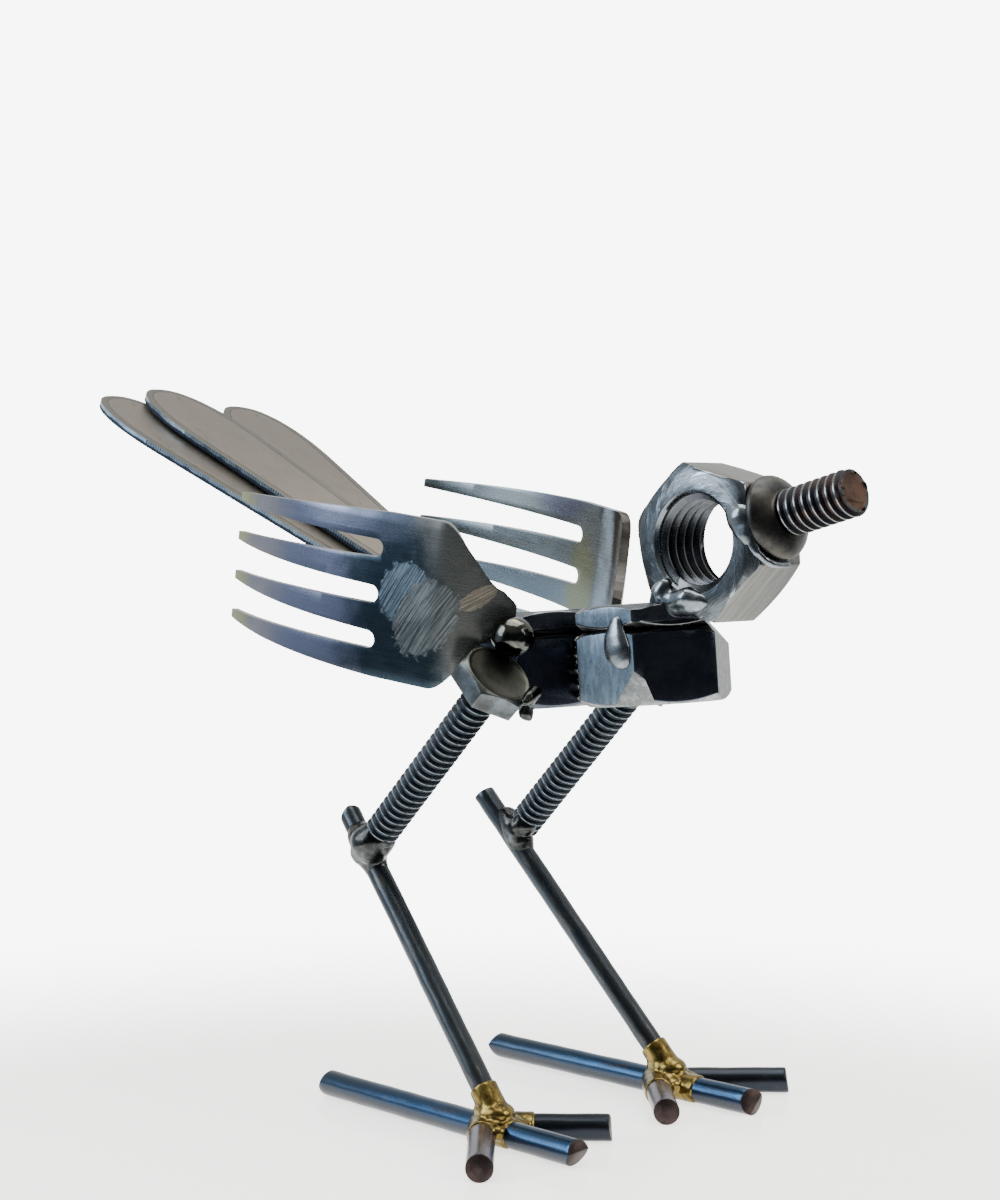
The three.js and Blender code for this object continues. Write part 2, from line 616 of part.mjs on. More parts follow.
// The bead that holds the three blades on the rear corner of the body
const tailRoot = bodyPoint(rearCentre, -cornerRadius(NUT_FLATS), 0, lockRise);
const tailWeld = beadAt(tailRoot, TAIL_BEAD * 1.3, TAIL_BEAD * 1.5, TAIL_BEAD * 1.4)
  .subtract(bodyBlank)
  .subtract(tailBlank);
add('weld_tail', tailWeld, 'weld');

bird.updateMatrixWorld(true);
const box = new THREE.Box3().setFromObject(bird);
const middle = box.getCenter(vec(0, 0, 0));
bird.position.set(-middle.x, -middle.y, -box.min.z);
bird.updateMatrixWorld(true);

export default bird;
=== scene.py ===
# %% [markdown]
# # A bird welded from scrap metal
# The real thing is a small desk bird. Two big hexagon nuts make its body and a third one its head,
# a bolt is the beak, two bolts and some round rod make the legs, two fork heads are the wings and
# three table-knife blades are the tail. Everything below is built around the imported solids, which
# stay where they are: each new piece stands for one or more of them and adds what they leave out.

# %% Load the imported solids
import math
import bmesh
import bpy
from mathutils import Matrix, Vector, noise


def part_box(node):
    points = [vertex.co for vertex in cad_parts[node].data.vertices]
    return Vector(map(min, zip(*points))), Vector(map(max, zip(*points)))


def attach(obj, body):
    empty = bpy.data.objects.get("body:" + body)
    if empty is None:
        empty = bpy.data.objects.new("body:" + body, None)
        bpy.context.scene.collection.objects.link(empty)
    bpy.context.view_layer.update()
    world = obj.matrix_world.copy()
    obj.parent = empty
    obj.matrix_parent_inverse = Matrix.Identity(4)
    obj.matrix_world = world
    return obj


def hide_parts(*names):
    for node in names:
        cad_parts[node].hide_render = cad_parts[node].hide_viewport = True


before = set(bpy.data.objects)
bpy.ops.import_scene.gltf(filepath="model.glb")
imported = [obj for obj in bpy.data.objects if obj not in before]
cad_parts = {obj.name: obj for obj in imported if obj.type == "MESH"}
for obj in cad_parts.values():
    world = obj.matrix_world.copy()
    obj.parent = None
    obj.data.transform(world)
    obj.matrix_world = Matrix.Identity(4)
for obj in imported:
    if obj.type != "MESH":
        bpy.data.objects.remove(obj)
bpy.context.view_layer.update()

# %% [markdown]
# ## Sizes
# A welded sculpture is easiest to rebuild from the sizes of its stock: the nut across its flats, the
# diameter of a rod, the pitch of a thread. They are in millimetres here, because that is how such
# stock is sold, and each piece is scaled to metres once, when its mesh is handed over.

# %% Stock sizes, in millimetres
MM = 0.001
# What the solids leave free between two pieces that are welded together.
GAP = 0.3
NUT_FLATS, NUT_HEIGHT, LOCK_HEIGHT = 24.0, 13.0, 3.9
NUT_BORE, NUT_RIM, NUT_PITCH = 14.2, 17.2, 2.1
HEAD_FLATS, HEAD_HEIGHT = 12.7, 4.2
THIGH_DIAMETER, THIGH_LENGTH, THIGH_PITCH, THIGH_DEPTH, IN_HEAD = 6.35, 43.2, 1.57, 0.62, 0.6
SHIN_DIAMETER, SHIN_BELOW, SHIN_ABOVE = 4.1, 55.0, 10.3
TOE_DIAMETER, HEEL_REACH = 4.8, 45.6
MIDDLE_REACH, OUTER_REACH, INNER_REACH = 20.3, 25.2, 22.6
TOE_SPREAD, TOE_SETBACK, TOE_OUT = 44.5, 3.4, 1.1
COLLAR_DIAMETER, COLLAR_LENGTH = 14.4, 3.6
BEAK_DIAMETER, BEAK_LENGTH, BEAK_PITCH, BEAK_DEPTH, IN_COLLAR, BEAK_OFFSET = 8.0, 13.1, 1.62, 0.66, 1.2, 0.7
SHEET, FORK_WIDTH, PALM, SHOULDER, NECK = 1.7, 29.6, 11.3, 12.5, 7.0
TINES, TINE_LENGTH, TINE_ROOT, TINE_TIP, TIP_SPAN = 4, 44.5, 5.0, 1.6, 24.2
PALM_TOE_OUT, TINE_CURL, BEND_START, BEND_RADIUS = 14, 35, 11.5, 7.0
# Where the two sides differ, -1 is the bird's right and 1 its left.
NECK_ANGLE, WING_RISE, WING_ABOVE = {-1: 66, 1: 50}, {-1: 8.6, 1: 10.0}, {-1: 16, 1: 18}
WING_BEHIND, WING_OUT = 20.7, 14
SHOULDER_GRIND, CORNER_GRIND, FOOT_GRIND = 3.0, 0.5, (6.2, -0.3)
BLADE_LENGTH, BLADE_SHEET, BLADE_ROOT, BLADE_WIDTH = 107.5, 1.5, 9.5, 18.2
BLADE_TIP = 0.8 * BLADE_LENGTH
corner_radius = NUT_FLATS / math.sqrt(3)
print("a nut is", round(2 * corner_radius, 2), "mm across its corners")

# %% [markdown]
# ## Where things are
# The legs stand on the ground, so the skeleton is worked out from the feet up: ankle, knee, hip, and
# then the body on the hips. The solids were laid out the same way and then moved a little along X to
# centre them, and the box of the head nut tells by how much.

# %% Tilts in degrees, and how the parts sit on each other
SHIN_LEAN, SHIN_SPLAY, THIGH_TILT = 47.4, 4.3, 45
BODY_TILT, BEAK_TILT, TAIL_TILT = 4.9, 15, 24.5
HIP_GAP, KNEE_INSET = 1.5, 1.4
HIPS_AHEAD, NUT_OVER_HIPS = 6.8, 2.4
HEAD_AHEAD, HEAD_OVER_SEAT = 15.8, 11.4
rad = math.radians


def heading(degrees):
    return Vector((math.cos(rad(degrees)), 0, math.sin(rad(degrees))))


def leg_points(side):
    """The joints of one leg; side is -1 on the bird's right and 1 on its left."""
    lean = rad(SHIN_LEAN)
    rise = Vector((-math.cos(lean), -side * math.tan(rad(SHIN_SPLAY)), math.sin(lean))).normalized()
    hip_side = NUT_FLATS / 2 + HIP_GAP + HEAD_FLATS / 2
    thigh = heading(THIGH_TILT)
    knee = Vector((0, side * (hip_side - KNEE_INSET), 0))
    ankle = knee - rise * SHIN_BELOW
    lift = Vector((0, 0, TOE_DIAMETER + GAP - ankle.z))
    knee, ankle = knee + lift, ankle + lift
    butt = knee + thigh * (SHIN_DIAMETER / 2 + GAP)
    butt.y = side * hip_side
    return {"side": side, "rise": rise, "thigh": thigh, "knee": knee, "ankle": ankle,
            "hip": butt + thigh * THIGH_LENGTH, "top": knee + rise * SHIN_ABOVE}


# %% The skeleton
legs = {"right": leg_points(-1), "left": leg_points(1)}
ahead = heading(BODY_TILT)
upward = Vector((-ahead.z, 0, ahead.x))
hips = Vector((legs["right"]["hip"].x, 0, legs["right"]["hip"].z))
rear_nut = hips - ahead * HIPS_AHEAD + upward * NUT_OVER_HIPS
front_nut = rear_nut + ahead * (2 * corner_radius + GAP)
lock_rise = (NUT_HEIGHT + LOCK_HEIGHT) / 2 + GAP
beak_way = heading(BEAK_TILT)
head = front_nut + ahead * HEAD_AHEAD + upward * (lock_rise + HEAD_OVER_SEAT)

head_low, head_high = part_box("head_nut")
shift = Vector(((head_low.x + head_high.x) / 2 / MM - head.x, 0, 0))
for point in (hips, rear_nut, front_nut, head):
    point += shift
for leg in legs.values():
    for place in ("knee", "ankle", "hip", "top"):
        leg[place] += shift
for label, point in (("head", head), ("right ankle", legs["right"]["ankle"])):
    print(label, "at", [round(c, 1) for c in point])
print("moved along X by", round(shift.x, 3), "mm")


def stand(origin, z_way, x_hint):
    """The matrix that puts local Z along one way and local X near another."""
    z = Vector(z_way).normalized()
    y = z.cross(Vector(x_hint)).normalized()
    x = y.cross(z)
    turn = Matrix((x, y, z)).transposed().to_4x4()
    return Matrix.Translation(origin) @ turn


def on_body(centre, forward, left, rise):
    return centre + ahead * forward + Vector((0, left, 0)) + upward * rise

# %% [markdown]
# ## Shader maths
# A finish is easier to read as a formula than as a tangle of nodes. A Wire wraps one socket of the
# node tree: adding or multiplying two wires adds the Math node that does it. Colours and vectors go
# through Mix and Vector Math nodes instead, because a Math node would turn a colour grey.

# %% Wires
class Wire:
    """One output socket, with arithmetic."""

    def __init__(self, finish, socket):
        self.finish, self.socket = finish, socket

    def math(self, operation, *others):
        values = dict(enumerate([self, *others]))
        return self.finish.node("ShaderNodeMath", {"operation": operation}, values)

    def __add__(self, other):
        return self.math("ADD", other)

    def __mul__(self, other):
        return self.math("MULTIPLY", other)

    __rmul__ = __mul__

    def __sub__(self, other):
        return self.math("SUBTRACT", other)

    def __rsub__(self, other):
        return (self * -1) + other

    def __truediv__(self, other):
        return self.math("DIVIDE", other)

    def __pow__(self, other):
        return self.math("POWER", other)

    def above(self, low, high):
        """0 below low, 1 above high and smooth between; low may be the higher one."""
        settings = {"interpolation_type": "SMOOTHSTEP"}
        values = {"Value": self, "From Min": low, "From Max": high}
        return self.finish.node("ShaderNodeMapRange", settings, values)


# %% Node trees and finishes
class Nodes:
    """A node tree and the one method that adds nodes to it."""

    def __init__(self, tree):
        self.tree = tree

    def node(self, kind, settings=None, values=None, out=0):
        made = self.tree.nodes.new(kind)
        for key, value in (settings or {}).items():
            setattr(made, key, value)
        for key, value in (values or {}).items():
            socket = made.inputs[key]
            if isinstance(value, Wire):
                self.tree.links.new(value.socket, socket)
            else:
                socket.default_value = value
        return Wire(self, made.outputs[out])

    def mix(self, factor, first, second):
        """The first colour at factor 0, the second at 1."""
        colours = [c if isinstance(c, Wire) else (*c, 1) for c in (first, second)]
        settings = {"data_type": "RGBA", "clamp_factor": True}
        return self.node("ShaderNodeMix", settings, {0: factor, 6: colours[0], 7: colours[1]}, out=2)


class Finish(Nodes):
    """A material under construction; what feed returns is the material."""

    def __init__(self, name, metallic=1.0, **constants):
        self.material = bpy.data.materials.new(name)
        self.material.use_nodes = True
        super().__init__(self.material.node_tree)
        self.shader = self.tree.nodes["Principled BSDF"]
        self.shader.inputs["Metallic"].default_value = metallic
        for socket, value in constants.items():
            self.shader.inputs[socket.replace("_", " ")].default_value = value

    def place(self, name="local"):
        """Where a point is on its own piece, in millimetres, from before the piece was put in place."""
        return self.node("ShaderNodeAttribute", {"attribute_name": name}, out="Vector")

    def amount(self, name):
        return self.node("ShaderNodeAttribute", {"attribute_name": name}, out="Fac")

    def parts(self, vector):
        """The X, Y and Z of a vector."""
        split = self.node("ShaderNodeSeparateXYZ", None, {0: vector})
        return [Wire(self, socket) for socket in split.socket.node.outputs]

    def stretched(self, vector, scale, turn=(0, 0, 0)):
        values = {"Vector": vector, "Rotation": turn}
        turned = self.node("ShaderNodeVectorRotate", {"rotation_type": "EULER_XYZ"}, values)
        return self.node("ShaderNodeVectorMath", {"operation": "MULTIPLY"}, {0: turned, 1: scale})

    def noise(self, vector, scale, detail=4.0, roughness=0.55, distortion=0.0):
        values = {"Vector": vector, "Scale": scale, "Detail": detail, "Roughness": roughness}
        return self.node("ShaderNodeTexNoise", None, values | {"Distortion": distortion})

    def bump(self, height, strength=0.3, distance=0.05):
        values = {"Height": height, "Strength": strength, "Distance": distance * MM}
        self.feed(Normal=self.node("ShaderNodeBump", None, values))

    def feed(self, **wires):
        for name, wire in wires.items():
            self.tree.links.new(wire.socket, self.shader.inputs[name.replace("_", " ")])
        return self.material


# %% [markdown]
# ## Many kinds of steel
# All of the bird is metal, so colour alone says little: what tells a rod from a fork is how rough it
# is, which way it was brushed and what heat did to it. Heat leaves an oxide film that turns straw,
# then violet, then blue as it thickens. Every finish below mixes a base tone, an oxide tone and fine
# scratches, and reads the place of a point on its own piece, so nothing slides when a piece tilts.

# %% Finishes of the nuts
def mill_steel(name, dark, light, rough=0.22, grain=(3.0, 3.0, 0.25), spots=0.35, rise=0.22, painted_band=None,
               painted_tone=(0.006, 0.007, 0.009)):
    """Hot-pressed steel: blotched, a little oily, with fine drawn lines. Rise is the height of its bumps, and
    the last two arguments give the heights along the piece between which a painted tone sets in, and that tone:
    painted shade where it is dark, a painted highlight where it is light."""
    finish = Finish(name)
    spot = finish.place()
    clouds = finish.noise(spot, 0.28, 5.0, 0.6)
    speck = finish.noise(spot, 2.2, 5.0, 0.7)
    lines = finish.noise(finish.stretched(spot, grain), 2.0, 3.0, 0.6)
    tone = finish.mix(clouds.above(0.35, 0.65), dark, light)
    tone = finish.mix(speck.above(0.62, 0.72) * spots, tone, (0.05, 0.042, 0.034))
    finish.bump(lines * 0.6 + speck * 0.5, rise, 0.05)
    rough = speck * 0.16 + lines * 0.08 + (rough - 0.1)
    # A band of painted light along the piece: near black painted shade, made rough, or a lighter painted
    # highlight.
    if painted_band:
        height = finish.parts(spot)[2]
        painted_mask = (height + (clouds - 0.5) * 0.9).above(*painted_band)
        tone = finish.mix(painted_mask, tone, painted_tone)
        rough = rough + painted_mask * (0.35 if painted_tone[0] < 0.05 else 0)
    return finish.feed(Base_Color=tone, Roughness=rough)


# %% Steel that was worked on
def ground_steel(name, tone, turn, rough=0.3, fine=7.0, depth=0.4, along=(1, 1, 0.022), lift=0.5):
    """A face that met the grinder: parallel scratches that catch the light."""
    finish = Finish(name)
    spot = finish.place()
    lines = finish.noise(finish.stretched(spot, tuple(fine * a for a in along), turn), 1.0, 5.0, 0.75)
    wide = finish.noise(finish.stretched(spot, tuple(1.1 * a for a in along), turn), 1.0, 2.0, 0.5)
    clouds = finish.noise(spot, 0.35, 3.0, 0.5)
    deep = tuple(c * 0.5 for c in tone)
    colour = finish.mix(lines.above(0.34, 0.62), deep, tone)
    colour = finish.mix(wide.above(0.45, 0.62) * lift, colour, tuple(min(1, c * 1.7) for c in tone))
    colour = finish.mix(clouds.above(0.5, 0.7) * 0.4, colour, tuple(c * 0.7 for c in tone))
    finish.bump(lines + wide * 0.8, depth, 0.06)
    return finish.feed(Base_Color=colour, Roughness=lines * 0.2 + (rough - 0.08))


def ring_steel(name, dark, light):
    """The face of the head nut: dragged round its bore by a wire wheel, with hammered hollows."""
    finish = Finish(name)
    spot = finish.place()
    x, y, z = finish.parts(spot)
    out = (x * x + y * y) ** 0.5
    turn = finish.node("ShaderNodeMath", {"operation": "ARCTAN2"}, {0: y, 1: x})
    polar = finish.node("ShaderNodeCombineXYZ", None, {0: out * 4.5, 1: turn * 2.2, 2: z * 0.3})
    strokes = finish.noise(polar, 1.0, 5.0, 0.65)
    slant = finish.node("ShaderNodeCombineXYZ", None, {0: out * 1.1 + turn * 5.0, 1: turn * 3.0, 2: 0.0})
    dents = finish.noise(slant, 0.8, 3.0, 0.55, 0.6)
    clouds = finish.noise(spot, 0.2, 4.0, 0.6)
    tone = finish.mix(strokes.above(0.4, 0.62), dark, light)
    tone = finish.mix(clouds.above(0.5, 0.62) * 0.7, tone, tuple(c * 0.45 for c in dark))
    tone = finish.mix(dents.above(0.58, 0.74) * 0.6, tone, (0.36, 0.43, 0.52))
    finish.bump(strokes * 0.12 + dents * 1.3, 0.35, 0.16)
    return finish.feed(Base_Color=tone, Roughness=strokes * 0.1 + clouds * 0.16 + 0.14)


# %% The nuts' own finishes
high, thin_low = NUT_HEIGHT / 2, -LOCK_HEIGHT / 2
# The thin nuts are painted near black along their lowest millimetre: painted shade in the seam where they sit
# on the body nuts.
nut_mill = mill_steel("nut_mill", (0.07, 0.08, 0.095), (0.13, 0.14, 0.155),
                      painted_band=(thin_low + 1.05, thin_low + 0.75))
# The body nuts are painted near black along their top millimetre: painted shade under the thin nuts.
nut_dark = mill_steel("nut_dark", (0.055, 0.065, 0.088), (0.085, 0.092, 0.11), rough=0.18,
                      painted_band=(high - 1.0, high - 0.75))
# The bores are painted lighter at their top countersink: a painted highlight.
nut_bore = mill_steel("nut_bore", (0.05, 0.055, 0.065), (0.09, 0.095, 0.10), rough=0.24,
                      painted_band=(5.0, 5.3), painted_tone=(0.15, 0.17, 0.19))
nut_brushed = ground_steel("nut_brushed", (0.13, 0.172, 0.215), (0.25, 0, 0), rough=0.36,
                           fine=9.0, depth=0.3, lift=0.35)
nut_ground = ground_steel("nut_ground", (0.21, 0.22, 0.22), (0.5, 0.9, 0), rough=0.36)
head_ring = ring_steel("head_ring", (0.07, 0.08, 0.086), (0.115, 0.13, 0.145))
head_flat = ground_steel("head_flat", (0.145, 0.145, 0.138), (0, 0, 0), rough=0.34,
                         along=(0.03, 0.03, 0.8), lift=0.25)
print("finishes of the nuts:", len(bpy.data.materials))

# %% [markdown]
# ## Handing a mesh over
# Each piece is modelled upright around its own axis, where a spin or an extrusion is simple, and is
# turned into place at the end. Before that turn every vertex notes its own coordinates in an
# attribute called local, which is what the finishes read.

# %% From a bmesh to a finished piece
pieces = []


def as_mesh(name, bm):
    """A mesh with what the bmesh holds; the bmesh is freed."""
    mesh = bpy.data.meshes.new(name)
    bm.to_mesh(mesh)
    bm.free()
    return mesh


def link(name, data):
    """A new object in the scene."""
    made = bpy.data.objects.new(name, data)
    bpy.context.scene.collection.objects.link(made)
    return made


def hand_over(name, bm, finishes, nodes=(), where=None, sharp=32):
    """Puts a piece where it belongs and hides the solids it stands for."""
    local = bm.verts.layers.float_vector.new("local")
    for vert in bm.verts:
        vert[local] = vert.co
    if where is not None:
        bmesh.ops.transform(bm, matrix=where, verts=bm.verts)
    bmesh.ops.recalc_face_normals(bm, faces=bm.faces)
    bmesh.ops.scale(bm, vec=(MM, MM, MM), verts=bm.verts)
    mesh = as_mesh(name, bm)
    mesh.shade_smooth()
    mesh.set_sharp_from_angle(angle=rad(sharp))
    for finish in finishes:
        mesh.materials.append(finish)
    piece = link(name, mesh)
    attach(piece, "root")
    if nodes:
        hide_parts(*nodes)
    pieces.append(piece)
    triangles = sum(len(p.vertices) - 2 for p in mesh.polygons)
    print(f"{name}: {len(mesh.vertices)} vertices, {triangles} triangles")


# %% Small tools for a bmesh
def clamp(share):
    return max(0.0, min(1.0, share))


def slice_at(bm, point, way, keep=False, dist=1e-4):
    """Cuts along a plane; what lies beyond it, as way points, is dropped unless it is to be kept."""
    every = list(bm.verts) + list(bm.edges) + list(bm.faces)
    bmesh.ops.bisect_plane(bm, geom=every, dist=dist, plane_co=point, plane_no=way, clear_outer=not keep)


def open_edges(bm):
    return [e for e in bm.edges if e.is_boundary]


def rim(bm, height):
    """The open edges at a height."""
    return [e for e in open_edges(bm) if all(abs(v.co.z - height) < 1e-3 for v in e.verts)]


def close(bm, edges=None):
    """Fills the holes inside some open edges, or inside all of them."""
    bmesh.ops.holes_fill(bm, edges=open_edges(bm) if edges is None else edges, sides=0)


def paint(faces, finish_index):
    for face in faces:
        face.material_index = finish_index


def add_to(whole, bm):
    """Moves what one bmesh holds into another."""
    mesh = as_mesh("part", bm)
    whole.from_mesh(mesh)
    bpy.data.meshes.remove(mesh)


def thicken(bm, thickness, base):
    """Gives a flat bmesh its thickness, and puts its underside at a height."""
    bmesh.ops.solidify(bm, geom=list(bm.faces), thickness=thickness)
    low = min(v.co.z for v in bm.verts)
    bmesh.ops.translate(bm, vec=(0, 0, base - low), verts=bm.verts)


# %% [markdown]
# ## Threads
# A thread is one small profile swept along a helix. In the editor that is the Screw modifier; here it
# is the spin operator, whose dvec moves the profile up by one pitch per turn. The last point of one
# turn falls on the first point of the next, so merging doubles closes the surface. Two flat cuts
# bring it to length, and a rule on the radius fades it out at an end or in a countersink.

# %% A row of points
def draw_on(bm, vert, place):
    """A new vertex at a place, drawn out of another one."""
    made = bmesh.ops.extrude_vert_indiv(bm, verts=[vert])["verts"][0]
    made.co = place
    return made


def chain(bm, points):
    """A row of vertices, each drawn out of the last one."""
    row = [bmesh.ops.create_vert(bm, co=points[0])["vert"][0]]
    for point in points[1:]:
        row.append(draw_on(bm, row[-1], point))
    return row


def revolve(bm, row, angle, steps, **options):
    """Sweeps a row of vertices and its edges around Z."""
    edges = list({e for v in row for e in v.link_edges})
    bmesh.ops.spin(bm, geom=row + edges, cent=(0, 0, 0), axis=(0, 0, 1), angle=angle, steps=steps,
                   use_duplicate=False, **options)
    bmesh.ops.remove_doubles(bm, verts=bm.verts, dist=0.001)


# %% A thread of any size
def thread(bm, root, crest, pitch, low, high, limit, steps=44):
    """A helical surface between two heights; limit(radius, height) says how far out it may be."""
    turns = math.ceil((high - low) / pitch) + 2
    start = low - pitch * 1.5
    shape = [(0, root), (0.10, root), (0.36, crest), (0.50, crest), (0.76, root), (1, root)]
    row = chain(bm, [(radius, 0, start + share * pitch) for share, radius in shape])
    revolve(bm, row, math.tau * turns, steps * turns, dvec=(0, 0, pitch / steps), use_merge=False)
    for height, side in ((low, -1), (high, 1)):
        slice_at(bm, (0, 0, height), (0, 0, side), dist=1e-5)
    worn = bm.verts.layers.float.new("crest")
    for vert in bm.verts:
        radius = math.hypot(vert.co.x, vert.co.y)
        vert[worn] = clamp((radius - root) / (crest - root))
        scale = limit(radius, vert.co.z) / radius
        vert.co.x *= scale
        vert.co.y *= scale


# %% [markdown]
# ## Hexagon nuts
# A nut is a hexagonal prism whose corners are cut by a cone, which leaves the curved edge that is so
# typical of it. A bevel can't make that curve, so the outline is a circle of many points pushed out
# to the hexagon, and the ring under the chamfer dips at each corner as far as the cone says. The
# ground faces are flat cuts with bisect_plane, filled again and given their own finish.

# %% The outside of a nut
RING = 96
# The flat circle on a nut as a share of its width across flats, and its finishes' places in their list.
FACE_SHARE = 0.48
BORE, BRUSHED, GROUND = 1, 2, 3


def hex_radius(angle, flats):
    """How far the outline of a hexagon with a corner on X is from its axis."""
    return flats / 2 / math.cos(angle % rad(60) - rad(30))


def next_ring(bm, edges, shape):
    """One more ring of vertices, each put where shape(angle) says: a radius and a height."""
    made = bmesh.ops.extrude_edge_only(bm, edges=edges)["geom"]
    for vert in (g for g in made if isinstance(g, bmesh.types.BMVert)):
        angle = math.atan2(vert.co.y, vert.co.x)
        radius, height = shape(angle)
        vert.co = (radius * math.cos(angle), radius * math.sin(angle), height)
    return [g for g in made if isinstance(g, bmesh.types.BMEdge)]


def hex_shell(bm, flats, half, both_ends=True):
    """The chamfered sides of a hexagon, open at the two end circles."""
    face = FACE_SHARE * flats
    drop = math.tan(rad(30))

    def level(height, dip=0.0):
        """A ring along the hexagon at a height, which its corners leave as the cone cuts them."""
        return lambda angle: (hex_radius(angle, flats), height - (hex_radius(angle, flats) - face) * dip)

    circle = bmesh.ops.create_circle(bm, cap_ends=False, radius=face, segments=RING)["verts"]
    for vert in circle:
        vert.co.z = -half
    start = list({e for v in circle for e in v.link_edges})
    edges = next_ring(bm, start, level(-half, -drop if both_ends else 0.0))
    for share in (0.33, 0.67):
        edges = next_ring(bm, edges, level((2 * share - 1) * (half - 1.2)))
    edges = next_ring(bm, edges, level(half, drop))
    return next_ring(bm, edges, lambda angle: (face, half))


def soften(bm, width, segments=2, angle=24):
    """Rounds every edge that is sharper than an angle."""
    sharp = [e for e in bm.edges if len(e.link_faces) == 2 and e.calc_face_angle(0) > rad(angle)]
    bmesh.ops.bevel(bm, geom=sharp, offset=width, segments=segments, profile=0.5, affect="EDGES",
                    material=-1, clamp_overlap=True)


# %% A whole nut
def grind(bm, point, way, finish_index):
    """Cuts a flat through the closed bmesh, fills the cut and gives it another finish."""
    slice_at(bm, point, way)
    made = bmesh.ops.triangle_fill(bm, edges=open_edges(bm), use_beauty=True, use_dissolve=False)["geom"]
    paint((g for g in made if isinstance(g, bmesh.types.BMFace)), finish_index)


def nut(height, finish_by_face=None, wear=0.22):
    """A nut around local Z with its corners on local X, thread included."""
    half = height / 2
    bm = bmesh.new()
    hex_shell(bm, NUT_FLATS, half)
    soften(bm, wear)
    if finish_by_face:
        for face in bm.faces:
            face.material_index = finish_by_face(face)
    inside = bmesh.new()
    sink = NUT_RIM / 2 - half

    def countersunk(radius, height):
        return max(radius, sink + abs(height))

    thread(inside, NUT_BORE / 2 + 1.0, NUT_BORE / 2, NUT_PITCH, -half, half, countersunk, steps=56)
    paint(inside.faces, BORE)
    add_to(bm, inside)
    for side in (-half, half):
        bmesh.ops.bridge_loops(bm, edges=rim(bm, side))
    return bm


# %% The body: two nuts in line, each with a thin one on top
def brushed_side(face):
    """The front nut's right flank was run along a belt, and its far and lower edges were ground."""
    face.normal_update()
    if face.normal.y < -0.98:
        return BRUSHED
    below = face.calc_center_median().z < 0
    return GROUND if face.normal.y > 0.4 or (below and face.normal.z < -0.3) else 0


def ground_nut(height, rise):
    """A front nut with its shoulder, its right corner and, where it is tall enough, its foot ground."""
    bm = nut(height, brushed_side)
    small = corner_radius - CORNER_GRIND
    grind(bm, (corner_radius / 2, NUT_FLATS / 2, SHOULDER_GRIND - rise), (0.62, 0.47, 0.63), GROUND)
    grind(bm, (small / 2, -0.866 * small, 0), (0.5, -0.866, 0), 0)
    if rise == 0:
        grind(bm, (FOOT_GRIND[0], -NUT_FLATS / 2, FOOT_GRIND[1]), (0.3, -0.92, -0.25), GROUND)
    return bm


dark_set = [nut_dark, nut_bore, nut_brushed, nut_ground]
thin_set = [nut_mill, nut_bore, nut_brushed, nut_ground]
thin_height, thin_rise = LOCK_HEIGHT + GAP, lock_rise - GAP / 2
for name, bm, finishes, node, centre, rise in (
        ("rear_body_nut", nut(NUT_HEIGHT), dark_set[:2], "body_nut_rear", rear_nut, 0),
        ("rear_thin_nut", nut(thin_height), thin_set[:2], "lock_nut_rear", rear_nut, thin_rise),
        ("front_body_nut", ground_nut(NUT_HEIGHT, 0), dark_set, "body_nut_front", front_nut, 0),
        ("front_thin_nut", ground_nut(thin_height, thin_rise), thin_set, "lock_nut_front", front_nut,
         thin_rise)):
    hand_over(name, bm, finishes, [node], stand(centre + upward * rise, upward, ahead))

# %% The head: the same nut on edge, its bore looking sideways
head_pose = stand(head, (0, -1, 0), beak_way) @ Matrix.Rotation(rad(30), 4, "Z")
head_bm = nut(NUT_HEIGHT, lambda face: BRUSHED if abs(face.normal.z) < 0.3 else 0, wear=0.3)
head_set = [head_ring, nut_bore, head_flat]
hand_over("head_nut_threaded", head_bm, head_set, ["head_nut"], head_pose)

# %% [markdown]
# ## Bolts
# The thighs are hexagon bolts and the beak is a collared one. A bolt is a head on a threaded shank;
# the shank's thread is the same sweep as in the nuts with its crest outside, and its end is capped
# and drawn in a little. The head and the shank are two closed shells in one mesh, the shank reaching
# into the head, which no eye can tell from one forging.

# %% Finishes of the bolts
def thread_steel(name, groove, crest, tint):
    """Black-oiled in the grooves and lighter on the crests: partly rubbed bright, partly a painted highlight.
    """
    finish = Finish(name)
    spot = finish.place()
    worn = finish.amount("crest")
    speck = finish.noise(spot, 1.8, 5.0, 0.7)
    clouds = finish.noise(spot, 0.25, 3.0, 0.5)
    # The crests' lighter colour is partly rubbed steel and partly a painted highlight.
    rubbed_and_highlit = (worn + (speck - 0.5) * 0.35).above(0.74, 1.0)
    tone = finish.mix(clouds.above(0.4, 0.65), groove, tint)
    tone = finish.mix(rubbed_and_highlit, tone, crest)
    finish.bump(speck, 0.2, 0.05)
    return finish.feed(Base_Color=tone, Roughness=speck * 0.2 + 0.35 - rubbed_and_highlit * 0.2)


thigh_thread = thread_steel("thigh_thread", (0.024, 0.030, 0.040), (0.10, 0.12, 0.135), (0.034, 0.042, 0.052))
beak_thread = thread_steel("beak_thread", (0.024, 0.024, 0.032), (0.17, 0.185, 0.18), (0.045, 0.030, 0.028))
bolt_head = mill_steel("bolt_head", (0.065, 0.07, 0.068), (0.12, 0.14, 0.155), rough=0.28)
bolt_top = mill_steel("bolt_top", (0.04, 0.043, 0.034), (0.07, 0.072, 0.06), rough=0.34, spots=0.1,
                      rise=0.03)
print("finishes so far:", len(bpy.data.materials))


# %% The shank and the head of a bolt
def shank(diameter, depth, length, pitch, point, steps=44):
    """A threaded rod from z 0 up to its length, its crest fading over the last bit at each end."""
    bm = bmesh.new()
    full = diameter / 2

    def tapered(radius, height):
        near = min(height + point, length + point - height)
        return min(radius, full - depth * 0.9 + max(0.0, near))

    thread(bm, full - depth, full, pitch, 0, length, tapered, steps)
    for height in (0, length):
        close(bm, rim(bm, height))
    return bm


def joined(first, second):
    """Two bmeshes as one."""
    whole = bmesh.new()
    for bm in (first, second):
        add_to(whole, bm)
    return whole


